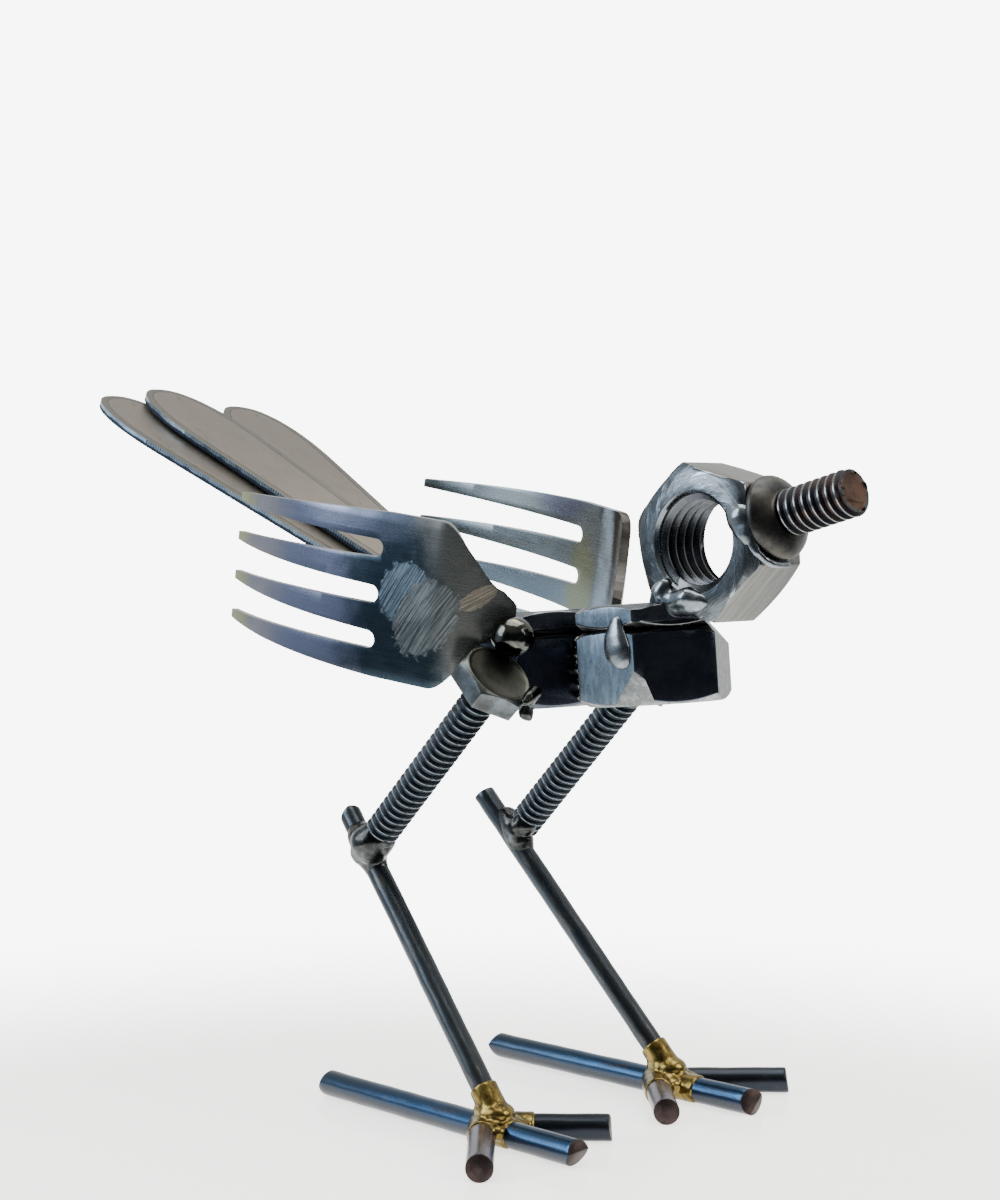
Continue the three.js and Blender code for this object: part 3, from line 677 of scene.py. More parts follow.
def bolt_head_shape(flats, height):
    """A hexagon head around Z 0, its top face turned down inside a low ring."""
    bm = bmesh.new()
    hex_shell(bm, flats, height / 2, both_ends=False)
    face = FACE_SHARE * flats
    top = rim(bm, height / 2)
    for inset, rise in ((0.35, -0.02), (0.6, -0.16), (2.2, -0.2)):
        top = next_ring(bm, top, lambda a, i=inset, r=rise: (face - i, height / 2 + r))
    close(bm, top)
    close(bm)
    soften(bm, 0.16)
    for face in bm.faces:
        face.normal_update()
        face.material_index = 2 if face.normal.z > 0.9 else 1
    return bm


# %% A thigh on each side
for name, leg in legs.items():
    body = shank(THIGH_DIAMETER, THIGH_DEPTH, THIGH_LENGTH + IN_HEAD, THIGH_PITCH, 0.5)
    top = bolt_head_shape(HEAD_FLATS, HEAD_HEIGHT)
    bmesh.ops.translate(top, vec=(0, 0, THIGH_LENGTH + HEAD_HEIGHT / 2), verts=top.verts)
    where = stand(leg["hip"] - leg["thigh"] * THIGH_LENGTH, leg["thigh"], (-1, 0, 1))
    hand_over(f"{name}_thigh", joined(body, top), [thigh_thread, bolt_head, bolt_top],
              [f"thigh_bolt_{name}"], where)

# %% The beak
collar_finish = mill_steel("beak_collar", (0.026, 0.027, 0.028), (0.06, 0.057, 0.050), rough=0.34, spots=0.6)
beak_end = mill_steel("beak_end", (0.035, 0.02, 0.015), (0.075, 0.043, 0.03), rough=0.5)
beak = shank(BEAK_DIAMETER, BEAK_DEPTH, BEAK_LENGTH + IN_COLLAR, BEAK_PITCH, 0.35, 56)
bmesh.ops.translate(beak, vec=(0, 0, COLLAR_LENGTH - IN_COLLAR), verts=beak.verts)
end = COLLAR_LENGTH + BEAK_LENGTH
tip = [f for f in beak.faces if f.calc_center_median().z > end - 0.05]
paint(bmesh.ops.inset_region(beak, faces=tip, thickness=0.65, use_even_offset=False)["faces"], 1)
paint(tip, 2)

# %% The beak's collar, as shares of its radius and its length
bell = [(0.0, 0.0), (0.95, 0.0), (0.985, 0.05), (1, 0.12), (0.998, 0.21), (0.985, 0.31), (0.96, 0.41),
        (0.925, 0.51), (0.88, 0.61), (0.83, 0.70), (0.775, 0.79), (0.715, 0.87), (0.66, 0.94), (0.61, 1.0),
        (0.55, 1.03), (0.0, 1.03)]
collar = bmesh.new()
row = chain(collar, [(share * COLLAR_DIAMETER / 2, 0, z * COLLAR_LENGTH) for share, z in bell])
revolve(collar, row, math.tau, 72, use_merge=True)
paint(collar.faces, 1)
beak_across = Vector((-beak_way.z, 0, beak_way.x))
beak_root = head + beak_way * (NUT_FLATS / 2 + GAP) + beak_across * BEAK_OFFSET
hand_over("beak", joined(beak, collar), [beak_thread, collar_finish, beak_end], ["beak_bolt"],
          stand(beak_root, beak_way, (0, 0, 1)))

# %% [markdown]
# ## Rods
# Shins and toes are plain round rod, cut with bolt cutters or a saw. What makes them real is their
# ends: a cutter pinches the rod to a blunt ridge, a saw leaves a flat face with a burr. Each rod is a
# cone shape of equal radii, cut into short lengths so that its surface can wander a hair, and its
# ends are shaped by slanted cuts.

# %% Finishes of the rods
def rod_steel(name, bare, blue, edge, heat=(20, 60), rough=0.3, underside_shade=0.0):
    """Drawn rod with mill scale, tinted blue where the torch was near, and darkened on its underside as painted
    shade, as strongly as the last argument asks.
    """
    finish = Finish(name)
    spot = finish.place()
    x, _, z = finish.parts(spot)
    scale = finish.noise(finish.stretched(spot, (1, 1, 0.22)), 0.9, 6.0, 0.65)
    lines = finish.noise(finish.stretched(spot, (4.5, 4.5, 0.12)), 1.0, 3.0, 0.6)
    speck = finish.noise(spot, 3.2, 4.0, 0.7)
    warm = (z + scale * 14).above(*heat)
    tone = finish.mix(warm, bare, blue)
    tone = finish.mix(scale.above(0.54, 0.66) * 0.55, tone, edge)
    tone = finish.mix(speck.above(0.66, 0.74) * 0.5, tone, (0.03, 0.03, 0.035))
    # Painted shade on the rod's underside: near black and less metallic.
    painted_mask = (x + (scale - 0.5)).above(0.9, -0.7) * underside_shade
    tone = finish.mix(painted_mask, tone, (0.008, 0.010, 0.016))
    finish.bump(lines * 0.5 + scale + speck * 0.4, 0.25, 0.05)
    rough = scale * 0.24 + speck * 0.12 + (rough - 0.16)
    return finish.feed(Base_Color=tone, Roughness=rough, Metallic=1 - painted_mask * 0.8)


shin_finish = rod_steel("shin_rod_steel", (0.042, 0.045, 0.049), (0.042, 0.050, 0.058), (0.10, 0.095, 0.085),
                        (0, 40))
# The foot rods get painted shade on their undersides.
foot_finish = rod_steel("foot_rod_steel", (0.028, 0.045, 0.07), (0.024, 0.052, 0.10), (0.05, 0.047, 0.05),
                        (8, 40), 0.22, 0.9)
dark_toe = rod_steel("dark_toe_steel", (0.02, 0.022, 0.026), (0.022, 0.026, 0.034), (0.04, 0.038, 0.036),
                     (0, 40))
pale_toe = rod_steel("pale_toe_steel", (0.17, 0.14, 0.18), (0.10, 0.085, 0.11), (0.22, 0.2, 0.2),
                     (0, 30), 0.28)
cut_face = mill_steel("cut_face", (0.018, 0.014, 0.014), (0.05, 0.036, 0.034), rough=0.42,
                      grain=(0.4, 3, 3))
print("finishes so far:", len(bpy.data.materials))


# %% A rod and its cuts
def rod(diameter, length, low_cuts, high_cuts, burr, wander):
    """A rod along local Z from 0 to its length. A cut is its tilt and the way it faces, both in degrees,
    and how deep it goes."""
    bm = bmesh.new()
    radius = diameter / 2
    made = bmesh.ops.create_cone(bm, cap_ends=True, segments=40, radius1=radius, radius2=radius, depth=length)
    bmesh.ops.translate(bm, vec=(0, 0, length / 2), verts=made["verts"])
    slices = max(2, int(length / 1.5))
    for k in range(1, slices):
        slice_at(bm, (0, 0, length * k / slices), (0, 0, 1), keep=True, dist=0.0)
    for vert in bm.verts:
        if 0.5 < vert.co.z < length - 0.5:
            place = Vector((vert.co.x * 0.4, vert.co.y * 0.4, vert.co.z * 0.25 + length))
            push = wander * noise.noise(place)
            vert.co.x *= 1 + push
            vert.co.y *= 1 + push
    for end, side, cuts in ((0, -1, low_cuts), (length, 1, high_cuts)):
        for tilt, way, depth in cuts:
            tilt, way = rad(tilt), rad(way)
            flat = math.sin(tilt)
            normal = (math.cos(way) * flat, math.sin(way) * flat, side * math.cos(tilt))
            slice_at(bm, (0, 0, end - side * depth), normal)
            close(bm)
    for face in bm.faces:
        face.normal_update()
        face.material_index = 1 if abs(face.normal.z) > 0.45 else 0
    soften(bm, burr, 2, 28)
    return bm


# %% How the ends of the rods were cut: each cut's tilt, the way it faces, and its depth
# The rods of the solids have twelve sides and lie on one of them, so a toe's axis is that low.
toe_height = TOE_DIAMETER / 2 * math.cos(math.pi / 12)
TOE_ROUND = 2 * toe_height + 0.06
CUTTER_RIDGE, SAW_FACE = ((12, 40, 0.4), (9, 250, 0.2)), ((4, 30, 0.1),)
HEEL_CUTS = {"right": ((12, 180, 0.3), (16, 0, 0.5)), "left": ((34, 180, 1.2), (30, 0, 0.9))}
TOE_CUTS = {"right": ((30, 180, 0.8), (14, 20, 0.5)), "left": ((10, 200, 0.3), (24, 60, 0.7))}
SHIN_CUTS = {"right": ((22, 200, 0.9), (14, 80, 0.5)), "left": ((3, 0, 0.05),)}
print("a toe is", round(TOE_ROUND, 2), "mm thick")


# %% Legs and feet
def toe_way(side, angle):
    """Where a toe points, at an angle outwards from the middle one."""
    turn = rad(TOE_OUT + angle) * side
    return Vector((math.cos(turn), math.sin(turn), 0))


def lay_rod(name, node, finish, start, stop, diameter, low_cuts, high_cuts, burr, wander=0.03):
    """A rod from one point to another, handed over."""
    bm = rod(diameter, (stop - start).length, low_cuts, high_cuts, burr, wander)
    hand_over(name, bm, [finish, cut_face], [node], stand(start, stop - start, (0, 0, 1)))


for name, leg in legs.items():
    side, ankle, rise = leg["side"], leg["ankle"], leg["rise"]
    lay_rod(f"{name}_shin", f"shin_rod_{name}", shin_finish, ankle - rise * 1.2, leg["top"],
            SHIN_DIAMETER, (), SHIN_CUTS[name], 0.22, 0.05)
    centre = Vector((ankle.x, ankle.y, toe_height))
    onward = toe_way(side, 0)
    lay_rod(f"{name}_foot", f"foot_rod_{name}", foot_finish, centre - onward * HEEL_REACH,
            centre + onward * MIDDLE_REACH, TOE_ROUND, HEEL_CUTS[name], TOE_CUTS[name], 0.28)
    root = centre - onward * TOE_SETBACK
    for kind, spread, reach in (("outer", TOE_SPREAD, OUTER_REACH), ("inner", -TOE_SPREAD, INNER_REACH)):
        way = toe_way(side, spread)
        near = (kind == "outer") == (name == "right")
        lay_rod(f"{name}_{kind}_toe", f"{kind}_toe_{name}", pale_toe if near else dark_toe, root + way * 1.5,
                root + way * reach, TOE_ROUND - 0.04, (), SAW_FACE if near else CUTTER_RIDGE, 0.24)

# %% [markdown]
# ## Fork wings
# A fork head is a flat blank, punched and then bent. The same two steps work here: the outline is
# drawn once with a chain of points and spun slot ends, filled, cut into fine strips, given its
# thickness and rounded edges while it is still flat, and only then bent along the wing's curve.

# %% Finish of the forks
def fork_steel(name, palm, tine, tip, neck, brown=0.6, grain=0.22, scars=(), bands=()):
    """Stainless sheet with heat colours that run along it. Scars are scratched patches and bands are
    tinted ones: where on the flat blank, how long and wide, how turned, and for a band its colour."""
    finish = Finish(name)
    spot = finish.place("flat")
    along, across, _ = finish.parts(spot)
    clouds = finish.noise(spot, 0.16, 4.0, 0.6)
    fine = finish.noise(finish.stretched(spot, (0.12, 2.4, 1.0)), 1.0, 2.0, 0.6)
    speck = finish.noise(spot, 1.6, 2.0, 0.6)
    drift = along + (clouds - 0.5) * 16
    tone = finish.mix(drift.above(-42, -34), tip, tine)
    tone = finish.mix((drift.above(-38, -32) - drift.above(-30, -22)) * brown, tone, (0.22, 0.2, 0.2))
    tone = finish.mix(drift.above(-12, -2), tone, palm)
    scorched = (drift + across * 0.35).above(7, 15)
    tone = finish.mix(scorched, tone, neck)
    tone = finish.mix(speck.above(0.66, 0.76) * (grain * 1.8), tone, (0.02, 0.02, 0.025))
    rough = fine * 0.14 + clouds * 0.12 + 0.14

    def patch(centre, size, turn, ragged):
        """1 inside an oval on the blank, 0 outside, with a torn edge; and its turned coordinates."""
        moved = finish.node("ShaderNodeVectorMath", {"operation": "SUBTRACT"}, {0: spot, 1: (*centre, 0)})
        placed = finish.stretched(moved, (1, 1, 0), (0, 0, rad(-turn)))
        u, v, _ = finish.parts(placed)
        oval = (u / size[0]) ** 2 + (v / size[1]) ** 2
        torn = oval + (finish.noise(placed, 0.7, 3.0, 0.6) - 0.5) * ragged
        soft = 0.12 if ragged > 1 else 0.75
        return torn.above(1 + soft, 1 - soft), placed

    for centre, size, turn, colour, amount in bands:
        inside, placed = patch(centre, size, turn, 0.8)
        tone = finish.mix(inside * amount, tone, colour)
    height = fine * 0.7 + speck * 0.3 + clouds
    for centre, size, turn, dark, bright in scars:
        inside, placed = patch(centre, size, turn, 1.5)
        lines = finish.noise(finish.stretched(placed, (0.10, 3.2, 1)), 1.0, 4.0, 0.7)
        scratched = finish.mix(lines.above(0.4, 0.6), dark, bright)
        tone = finish.mix(inside, tone, scratched)
        rough = rough + inside * 0.1
        height = height + inside * lines * 2.2
    finish.bump(height, grain, 0.06)
    return finish.feed(Base_Color=tone, Roughness=rough, Metallic=1 - scorched * 0.5)


# %% The two forks' own colours
near_fork = fork_steel(
    "near_fork_steel", palm=(0.026, 0.040, 0.054), tine=(0.125, 0.135, 0.19), tip=(0.19, 0.20, 0.09),
    neck=(0.07, 0.076, 0.074), grain=0.13,
    scars=(((5.4, 1.2), (5.6, 5.0), 63, (0.035, 0.052, 0.07), (0.18, 0.235, 0.285)),
           ((9.8, -2.6), (7.4, 5.4), 60, (0.038, 0.046, 0.052), (0.155, 0.175, 0.18)),
           ((19.0, 2.2), (3.8, 1.6), 32, (0.085, 0.078, 0.062), (0.24, 0.215, 0.175))),
    bands=(((-3.0, 12.0), (9.0, 3.0), 5, (0.09, 0.10, 0.14), 0.6),
           ((16.5, -5.0), (3.5, 7.0), 20, (0.08, 0.082, 0.078), 0.6)))
far_fork = fork_steel(
    "far_fork_steel", palm=(0.23, 0.27, 0.30), tine=(0.21, 0.25, 0.275), tip=(0.18, 0.205, 0.21),
    neck=(0.026, 0.022, 0.018), brown=0.1, grain=0.04,
    bands=(((-7.6, 13.6), (7.5, 3.4), 0, (0.15, 0.15, 0.26), 0.6),
           ((1.0, -1.5), (4.6, 9.5), 0, (0.29, 0.30, 0.17), 0.75),
           ((8.6, 3.0), (2.2, 14.0), 0, (0.42, 0.50, 0.58), 0.85)))
print("finishes so far:", len(bpy.data.materials))


# %% The flat blank
def fork_widths():
    """Distances from the slot ends and the half widths there, over the palm, the shoulder and the neck."""
    shares = [(0, 1), (0.06, 0.995), (0.12, 0.98), (0.18, 0.95), (0.25, 0.9), (0.35, 0.80), (0.45, 0.68),
              (0.58, 0.545), (0.7, 0.42), (0.8, 0.335), (0.88, 0.28), (1, 0.23)]
    shoulder = [(PALM + share * SHOULDER, max(NECK / 2, wide * FORK_WIDTH / 2)) for share, wide in shares]
    return shoulder + [(24.3, NECK / 2 - 0.5), (25.6, NECK / 2 - 1.5), (26.6, 0.9)]


def tine_edge(number, side, share, root_pitch, tip_pitch):
    """A point on one side of a tine, at a share of its length from the root."""
    root_middle = FORK_WIDTH / 2 - TINE_ROOT / 2 - number * root_pitch
    tip_middle = TIP_SPAN / 2 - TINE_TIP / 2 - number * tip_pitch
    middle = root_middle + (tip_middle - root_middle) * share
    wide = TINE_ROOT / 2 * (1 - share) + TINE_TIP / 2 * share + 0.2 * math.sin(math.pi * share)
    return (-TINE_LENGTH * share, middle + side * wide, 0)


def fork_blank():
    """The outline of a fork head, flat in XY, its slots ending at X 0 and its neck along X."""
    bm = bmesh.new()
    neck_end = PALM + SHOULDER + NECK
    root_pitch = (FORK_WIDTH - TINE_ROOT) / (TINES - 1)
    tip_pitch = (TIP_SPAN - TINE_TIP) / (TINES - 1)
    slot = (root_pitch - TINE_ROOT) / 2
    upper = [(neck_end, -0.6), (neck_end, 0.6)] + fork_widths()[::-1]
    row = chain(bm, [(s, v, 0) for s, v in upper])
    last = row[-1]
    shares = [k / 6 for k in range(7)]
    for i in range(TINES):
        first, final = (0 if i == 0 else 1), (0 if i == TINES - 1 else 1)
        tine = [(share, 1) for share in shares[first:]]
        tine += [(share, -1) for share in reversed(shares[final:])]
        for share, side in tine:
            last = draw_on(bm, last, tine_edge(i, side, share, root_pitch, tip_pitch))
        if i < TINES - 1:
            root_middle = FORK_WIDTH / 2 - TINE_ROOT / 2 - i * root_pitch
            last = draw_on(bm, last, (-slot, root_middle - TINE_ROOT / 2, 0))
            made = bmesh.ops.spin(bm, geom=[last], cent=(-slot, root_middle - root_pitch / 2, 0),
                                  axis=(0, 0, 1), angle=-math.pi, steps=10, use_merge=False,
                                  use_duplicate=False)
            last = next(g for g in made["geom_last"] if isinstance(g, bmesh.types.BMVert))
    for s, w in fork_widths():
        last = draw_on(bm, last, (s, -w, 0))
    bmesh.ops.contextual_create(bm, geom=[last, row[0]])
    bmesh.ops.remove_doubles(bm, verts=bm.verts, dist=0.01)
    bmesh.ops.contextual_create(bm, geom=list(bm.edges))
    return bm


# %% The curve of a wing
PATH_STEP = 0.25


def fork_path(side):
    """The wing's curve seen from above: place and heading at each distance, as the solids have it."""
    turn = rad(NECK_ANGLE[side] - PALM_TOE_OUT)
    bend = BEND_RADIUS * turn
    points = {0.0: (0.0, 0.0, -rad(PALM_TOE_OUT))}
    for sign, reach in ((1, PALM + SHOULDER + NECK + 2), (-1, TINE_LENGTH + 2)):
        x = y = 0.0
        for k in range(1, int(reach / PATH_STEP)):
            s = sign * k * PATH_STEP
            way = -rad(PALM_TOE_OUT)
            if sign > 0:
                way -= turn * clamp((s - BEND_START) / bend)
            else:
                way -= rad(TINE_CURL) * s / TINE_LENGTH
            x += sign * PATH_STEP * math.cos(way)
            y += sign * PATH_STEP * math.sin(way)
            points[round(s, 3)] = (x, y, way)
    return points


def fork(side):
    """A fork head on its wing curve; local X runs forward, Y away from the body and Z up."""
    bm = fork_blank()
    for count, pitch, way in (((-41, 29), 1.1, Vector((1, 0, 0))), ((-7, 8), 1.85, Vector((0, 1, 0)))):
        for k in range(*count):
            slice_at(bm, way * (k * pitch), way, keep=True, dist=0.02)
    thicken(bm, SHEET, -SHEET / 2)
    bmesh.ops.recalc_face_normals(bm, faces=bm.faces)
    soften(bm, 0.34, 3, 50)
    flat = bm.verts.layers.float_vector.new("flat")
    points = fork_path(side)
    for vert in bm.verts:
        s, v, t = vert.co
        vert[flat] = vert.co
        before = round(math.floor(s / PATH_STEP) * PATH_STEP, 3)
        a, b = points[before], points[round(before + PATH_STEP, 3)]
        share = (s - before) / PATH_STEP
        x, y, way = (p + (q - p) * share for p, q in zip(a, b))
        thin = 1 - 0.22 * clamp(-s / TINE_LENGTH)
        dish = 0.7 * (v / (FORK_WIDTH / 2)) ** 2 * clamp((s + 30) / 30) * clamp((22 - s) / 12)
        away = t * thin - dish
        vert.co = (x - math.sin(way) * away, side * (y + math.cos(way) * away), v)
    return bm


# %% The two wings
for name, leg in legs.items():
    side = leg["side"]
    bm = fork(side)
    forward, above = heading(-WING_RISE[side]), heading(90 - WING_RISE[side])
    origin = Vector((hips.x - WING_BEHIND, side * (NUT_FLATS / 2 + WING_OUT), hips.z + WING_ABOVE[side]))
    bmesh.ops.transform(bm, matrix=stand(origin, above, forward), verts=bm.verts)
    slice_at(bm, (0, side * (NUT_FLATS / 2 - 0.2), 0), (0, -side, 0))
    close(bm)
    finish = near_fork if side < 0 else far_fork
    hand_over(f"{name}_wing", bm, [finish], [f"fork_wing_{name}"], sharp=40)

# %% [markdown]
# ## Tail blades
# The tail is three blades of table knives, fanned out, the middle one lying on the other two. Each
# has a ground border all round and a row of fine teeth along its right edge. The border is an inset
# of the flat outline, lowered at its rim, and the teeth are every second point of that edge drawn in.

# %% Finish of the blades
def blade_steel(name, dark, light):
    """Worn satin knife steel: warm, brushed along its length, smudged, paler towards its root."""
    finish = Finish(name)
    spot = finish.place()
    along = finish.parts(spot)[0]
    brushed = finish.noise(finish.stretched(spot, (0.10, 3.4, 1.0)), 1.0, 5.0, 0.7)
    clouds = finish.noise(spot, 0.09, 4.0, 0.6)
    smudge = finish.noise(finish.stretched(spot, (0.30, 0.8, 1.0)), 0.8, 4.0, 0.6)
    tone = finish.mix((along + clouds * 40).above(105, 45), dark, light)
    tone = finish.mix(brushed.above(0.45, 0.75) * 0.35, tone, tuple(c * 1.35 for c in light))
    tone = finish.mix(smudge.above(0.62, 0.7) * 0.7, tone, tuple(c * 0.4 for c in dark))
    finish.bump(brushed + smudge * 0.3, 0.12, 0.05)
    return finish.feed(Base_Color=tone, Roughness=brushed * 0.16 + clouds * 0.12 + 0.2)


blade_face = blade_steel("blade_face", (0.13, 0.108, 0.084), (0.225, 0.192, 0.150))
blade_border = blade_steel("blade_border", (0.075, 0.067, 0.052), (0.155, 0.135, 0.106))
blade_line = mill_steel("blade_line", (0.03, 0.028, 0.025), (0.06, 0.055, 0.048), rough=0.45)
# The blade edges are light blue above and painted near black below: painted shade along the lower part of each
# edge.
blade_edge = mill_steel("blade_edge", (0.24, 0.33, 0.42), (0.36, 0.46, 0.56), rough=0.3, grain=(0.3, 3.0, 3.0),
                        spots=0.2, painted_band=(0.85, 0.55), painted_tone=(0.03, 0.042, 0.062))
blade_set = [blade_face, blade_border, blade_line, blade_edge]
print("finishes so far:", len(bpy.data.materials))


# %% One blade
def blade_half(x):
    """Half the width of a blade at a distance from its root."""
    root, half = BLADE_ROOT / 2, BLADE_WIDTH / 2
    if x > BLADE_TIP:
        turn = math.asin(min(1.0, (x - BLADE_TIP) / (BLADE_LENGTH - BLADE_TIP)))
        return half * math.cos(turn) ** 0.8
    share = min(1.0, x / (0.76 * BLADE_LENGTH))
    return root + (half - root) * share * (1.08 - 0.08 * share)


def blade(border=1.35, groove=0.24, drop=0.42, tooth=0.13, pitch=0.36):
    """A blade along local X from its root, its underside at Z 0 and its teeth on the Y side."""
    bm = bmesh.new()
    straight = [k * pitch for k in range(int(BLADE_TIP / pitch) + 1)]
    curved = [BLADE_TIP + (BLADE_LENGTH - BLADE_TIP) * math.sin(math.pi / 2 * k / 22) for k in range(1, 22)]
    right = [(x, blade_half(x), 0) for x in straight + curved]
    left = [(x, -blade_half(x), 0) for x in straight[::6] + curved]
    tip = [(BLADE_LENGTH - 0.02, y, 0) for y in (0.5, -0.5)]
    row = chain(bm, right + tip + left[::-1])
    bmesh.ops.contextual_create(bm, geom=[row[-1], row[0]])
    face = bmesh.ops.contextual_create(bm, geom=list(bm.edges))["faces"][0]
    face.material_index = 0
    for finish_index, width, even in ((1, border, True), (2, groove, False)):
        paint(bmesh.ops.inset_region(bm, faces=[face], thickness=width, use_even_offset=even,
                                     use_boundary=True)["faces"], finish_index)
    middle, outer = set(face.verts), set(row)
    for k, vert in enumerate(row[:len(straight)]):
        if k % 2 and 0.2 < k / len(straight) < 0.98:
            vert.co.y -= tooth
    zone = bm.verts.layers.int.new("rim")
    for vert in bm.verts:
        vert[zone] = 2 if vert in outer else 0 if vert in middle else 1
    thicken(bm, BLADE_SHEET, 0)
    for vert in bm.verts:
        if vert.co.z > BLADE_SHEET / 2:
            vert.co.z -= (0, 0.13, drop)[vert[zone]]
    bmesh.ops.recalc_face_normals(bm, faces=bm.faces)
    for face in bm.faces:
        face.normal_update()
        if abs(face.normal.z) < 0.5:
            face.material_index = 3
    return bm


# %% The three blades of the tail
behind, over = heading(180 - TAIL_TILT), heading(90 - TAIL_TILT)
for name, sideways, turn, layer, setback in (
        ("middle", -1, 0.2, 0, 0), ("right", -3.8, 5, 1, 0), ("left", 5.6, -9, 2, 2.4)):
    root = on_body(rear_nut, -corner_radius - 0.6, sideways, lock_rise + LOCK_HEIGHT / 2)
    root = root - over * (layer * (BLADE_SHEET + GAP)) + behind * setback
    where = stand(root, over, behind) @ Matrix.Rotation(rad(turn), 4, "Z")
    hand_over(f"tail_{name}", blade(), blade_set, [f"tail_blade_{name}"], where, sharp=12)

# %% [markdown]
# ## Welds
# Molten metal pulls itself into rounded, running shapes. They are made the way they happen: a few
# lumps are set down where the welder dwelt, a voxel remesh melts them into one skin, smoothing lets
# them flow together, and a little noise leaves the ripples. The weld on iron is dark and glassy with
# slag, and the ankles are brazed, which is gold and runs up the rods as a thin glaze.

# %% Finishes of the welds
def melt_finish(name, tones, rough, accent, scale=0.5, ripple=0.5):
    """Metal that ran and froze: two tones that flow into each other and an accent on the crests."""
    finish = Finish(name)
    spot = finish.place()
    flow = finish.noise(spot, scale * 0.7, 2.0, 0.5, 0.8)
    fine = finish.noise(spot, scale * 4.0, 3.0, 0.6)
    tone = finish.mix(flow.above(0.36, 0.64), tones[0], tones[1])
    tone = finish.mix(flow.above(0.60, 0.74) * 0.8, tone, accent)
    finish.bump(flow * 2 + fine * 0.1, ripple * 0.5, 0.12)
    return finish.feed(Base_Color=tone, Roughness=fine * 0.14 + (rough - 0.07))


slag = melt_finish("weld_slag", ((0.035, 0.038, 0.036), (0.085, 0.087, 0.078)), 0.13, (0.24, 0.21, 0.13))
grey_weld = melt_finish("weld_grey", ((0.026, 0.028, 0.028), (0.052, 0.055, 0.053)), 0.22,
                        (0.085, 0.11, 0.135), 0.6)
silver_weld = melt_finish("weld_silver", ((0.13, 0.15, 0.16), (0.18, 0.20, 0.22)), 0.25,
                          (0.28, 0.34, 0.44), 0.5, 0.2)
braze = melt_finish("ankle_braze", ((0.20, 0.15, 0.045), (0.115, 0.078, 0.022)), 0.25,
                    (0.045, 0.018, 0.012), 0.9, 0.0)
print("finishes in all:", len(bpy.data.materials))


# %% Melting lumps together
def lump(bm, centre, radii):
    made = bmesh.ops.create_icosphere(bm, subdivisions=3, radius=1)["verts"]
    bmesh.ops.scale(bm, vec=radii, verts=made)
    bmesh.ops.translate(bm, vec=centre, verts=made)


def bead(bm, stops, flat=1.0):
    """A run of weld: balls set close together from each place and size to the next. Flat squashes them
    sideways."""
    stops = [(Vector(place), size) for place, size in stops]
    for (place, size), (onward, last) in zip(stops, stops[1:]):
        steps = max(1, math.ceil((onward - place).length / (0.3 * min(size, last))))
        for k in range(steps + 1):
            now = size + (last - size) * k / steps
            lump(bm, place.lerp(onward, k / steps), (now, now * flat, now))


def sleeve(bm, start, stop, radius):
    """A closed tube around a rod."""
    way = stop - start
    where = stand(start, way, (0.1, 0.2, 1)) @ Matrix.Translation((0, 0, way.length / 2))
    bmesh.ops.create_cone(bm, cap_ends=True, segments=28, radius1=radius, radius2=radius, depth=way.length,
                          matrix=where)


# %% One skin around the lumps
def melt(bm, voxel, rounds, ripple, seed):
    """One smooth skin around everything in the bmesh: its grain, how often it is smoothed, how high its
    ripples are and where their noise starts."""
    mesh = as_mesh("lumps", bm)
    block = link("lumps", mesh)
    skin = block.modifiers.new("skin", "REMESH")
    skin.mode, skin.voxel_size = "VOXEL", voxel
    flow = block.modifiers.new("flow", "SMOOTH")
    flow.factor, flow.iterations = 0.5, rounds
    melted = bpy.data.meshes.new_from_object(block.evaluated_get(bpy.context.evaluated_depsgraph_get()))
    bpy.data.objects.remove(block)
    out = bmesh.new()
    out.from_mesh(melted)
    for spent in (melted, mesh):
        bpy.data.meshes.remove(spent)
    for vert in out.verts:
        vert.normal_update()
    for vert in out.verts:
        push = noise.noise(vert.co * 0.4 + Vector((seed, 0, 0)))
        push += 0.25 * noise.noise(vert.co + Vector((0, seed, 0)))
        vert.co += vert.normal * (push * ripple)
    return out


def weld(name, bm, skin, finish, nodes=()):
    """Melts the lumps, as skin says, and hands them over."""
    hand_over(name, melt(bm, *skin), [finish], nodes, sharp=180)


# %% Hips and knees
# Each stop is its place along the thigh, along the shin and outwards from the knee, and its size.
KNEE_RUNS = {
    "right": (((0.0, -3.4, 0.0, 2.2), (0.5, 0.2, 0.2, 3.0), (0.7, 3.0, 0.3, 3.0), (0.2, 5.0, 0.0, 2.2)),
              ((1.0, 0.4, 0.8, 3.4), (3.2, 0.3, 1.4, 3.9), (4.4, 0.0, 1.4, 3.7))),
    "left": (((0.0, -4.8, 0.0, 1.7), (0.8, -2.4, 0.2, 2.7), (1.8, 0.6, 0.3, 3.0), (1.4, 3.0, 0.2, 2.0),
              (0.4, 4.6, 0.0, 1.4)),
             ((1.8, 0.0, 0.3, 2.8), (3.8, -0.6, 0.4, 2.6), (4.6, -1.6, 0.0, 1.8)))}
for name, leg in legs.items():
    side, knee, thigh, shin = leg["side"], leg["knee"], leg["thigh"], leg["rise"]
    hip_top = leg["hip"] + thigh * HEAD_HEIGHT
    bm = bmesh.new()
    lump(bm, (hip_top.x - 1.6, side * 15.0, hip_top.z + 6), (4.1, 3.7, 3.6))
    lump(bm, (hip_top.x - 3.8, side * 13.4, hip_top.z + 7.4), (3.0, 2.4, 2.2))
    weld(f"{name}_hip_weld", bm, (0.28, 16, 0.1, side), slag, [f"weld_hip_{name}"])

    bm = bmesh.new()
    for run in KNEE_RUNS[name]:
        bead(bm, [(knee + thigh * along + shin * across + Vector((0, side * out, 0)), size)
                  for along, across, out, size in run])
    weld(f"{name}_knee_weld", bm, (0.26, 10, 0.2, 3 * side), grey_weld, [f"weld_knee_{name}"])

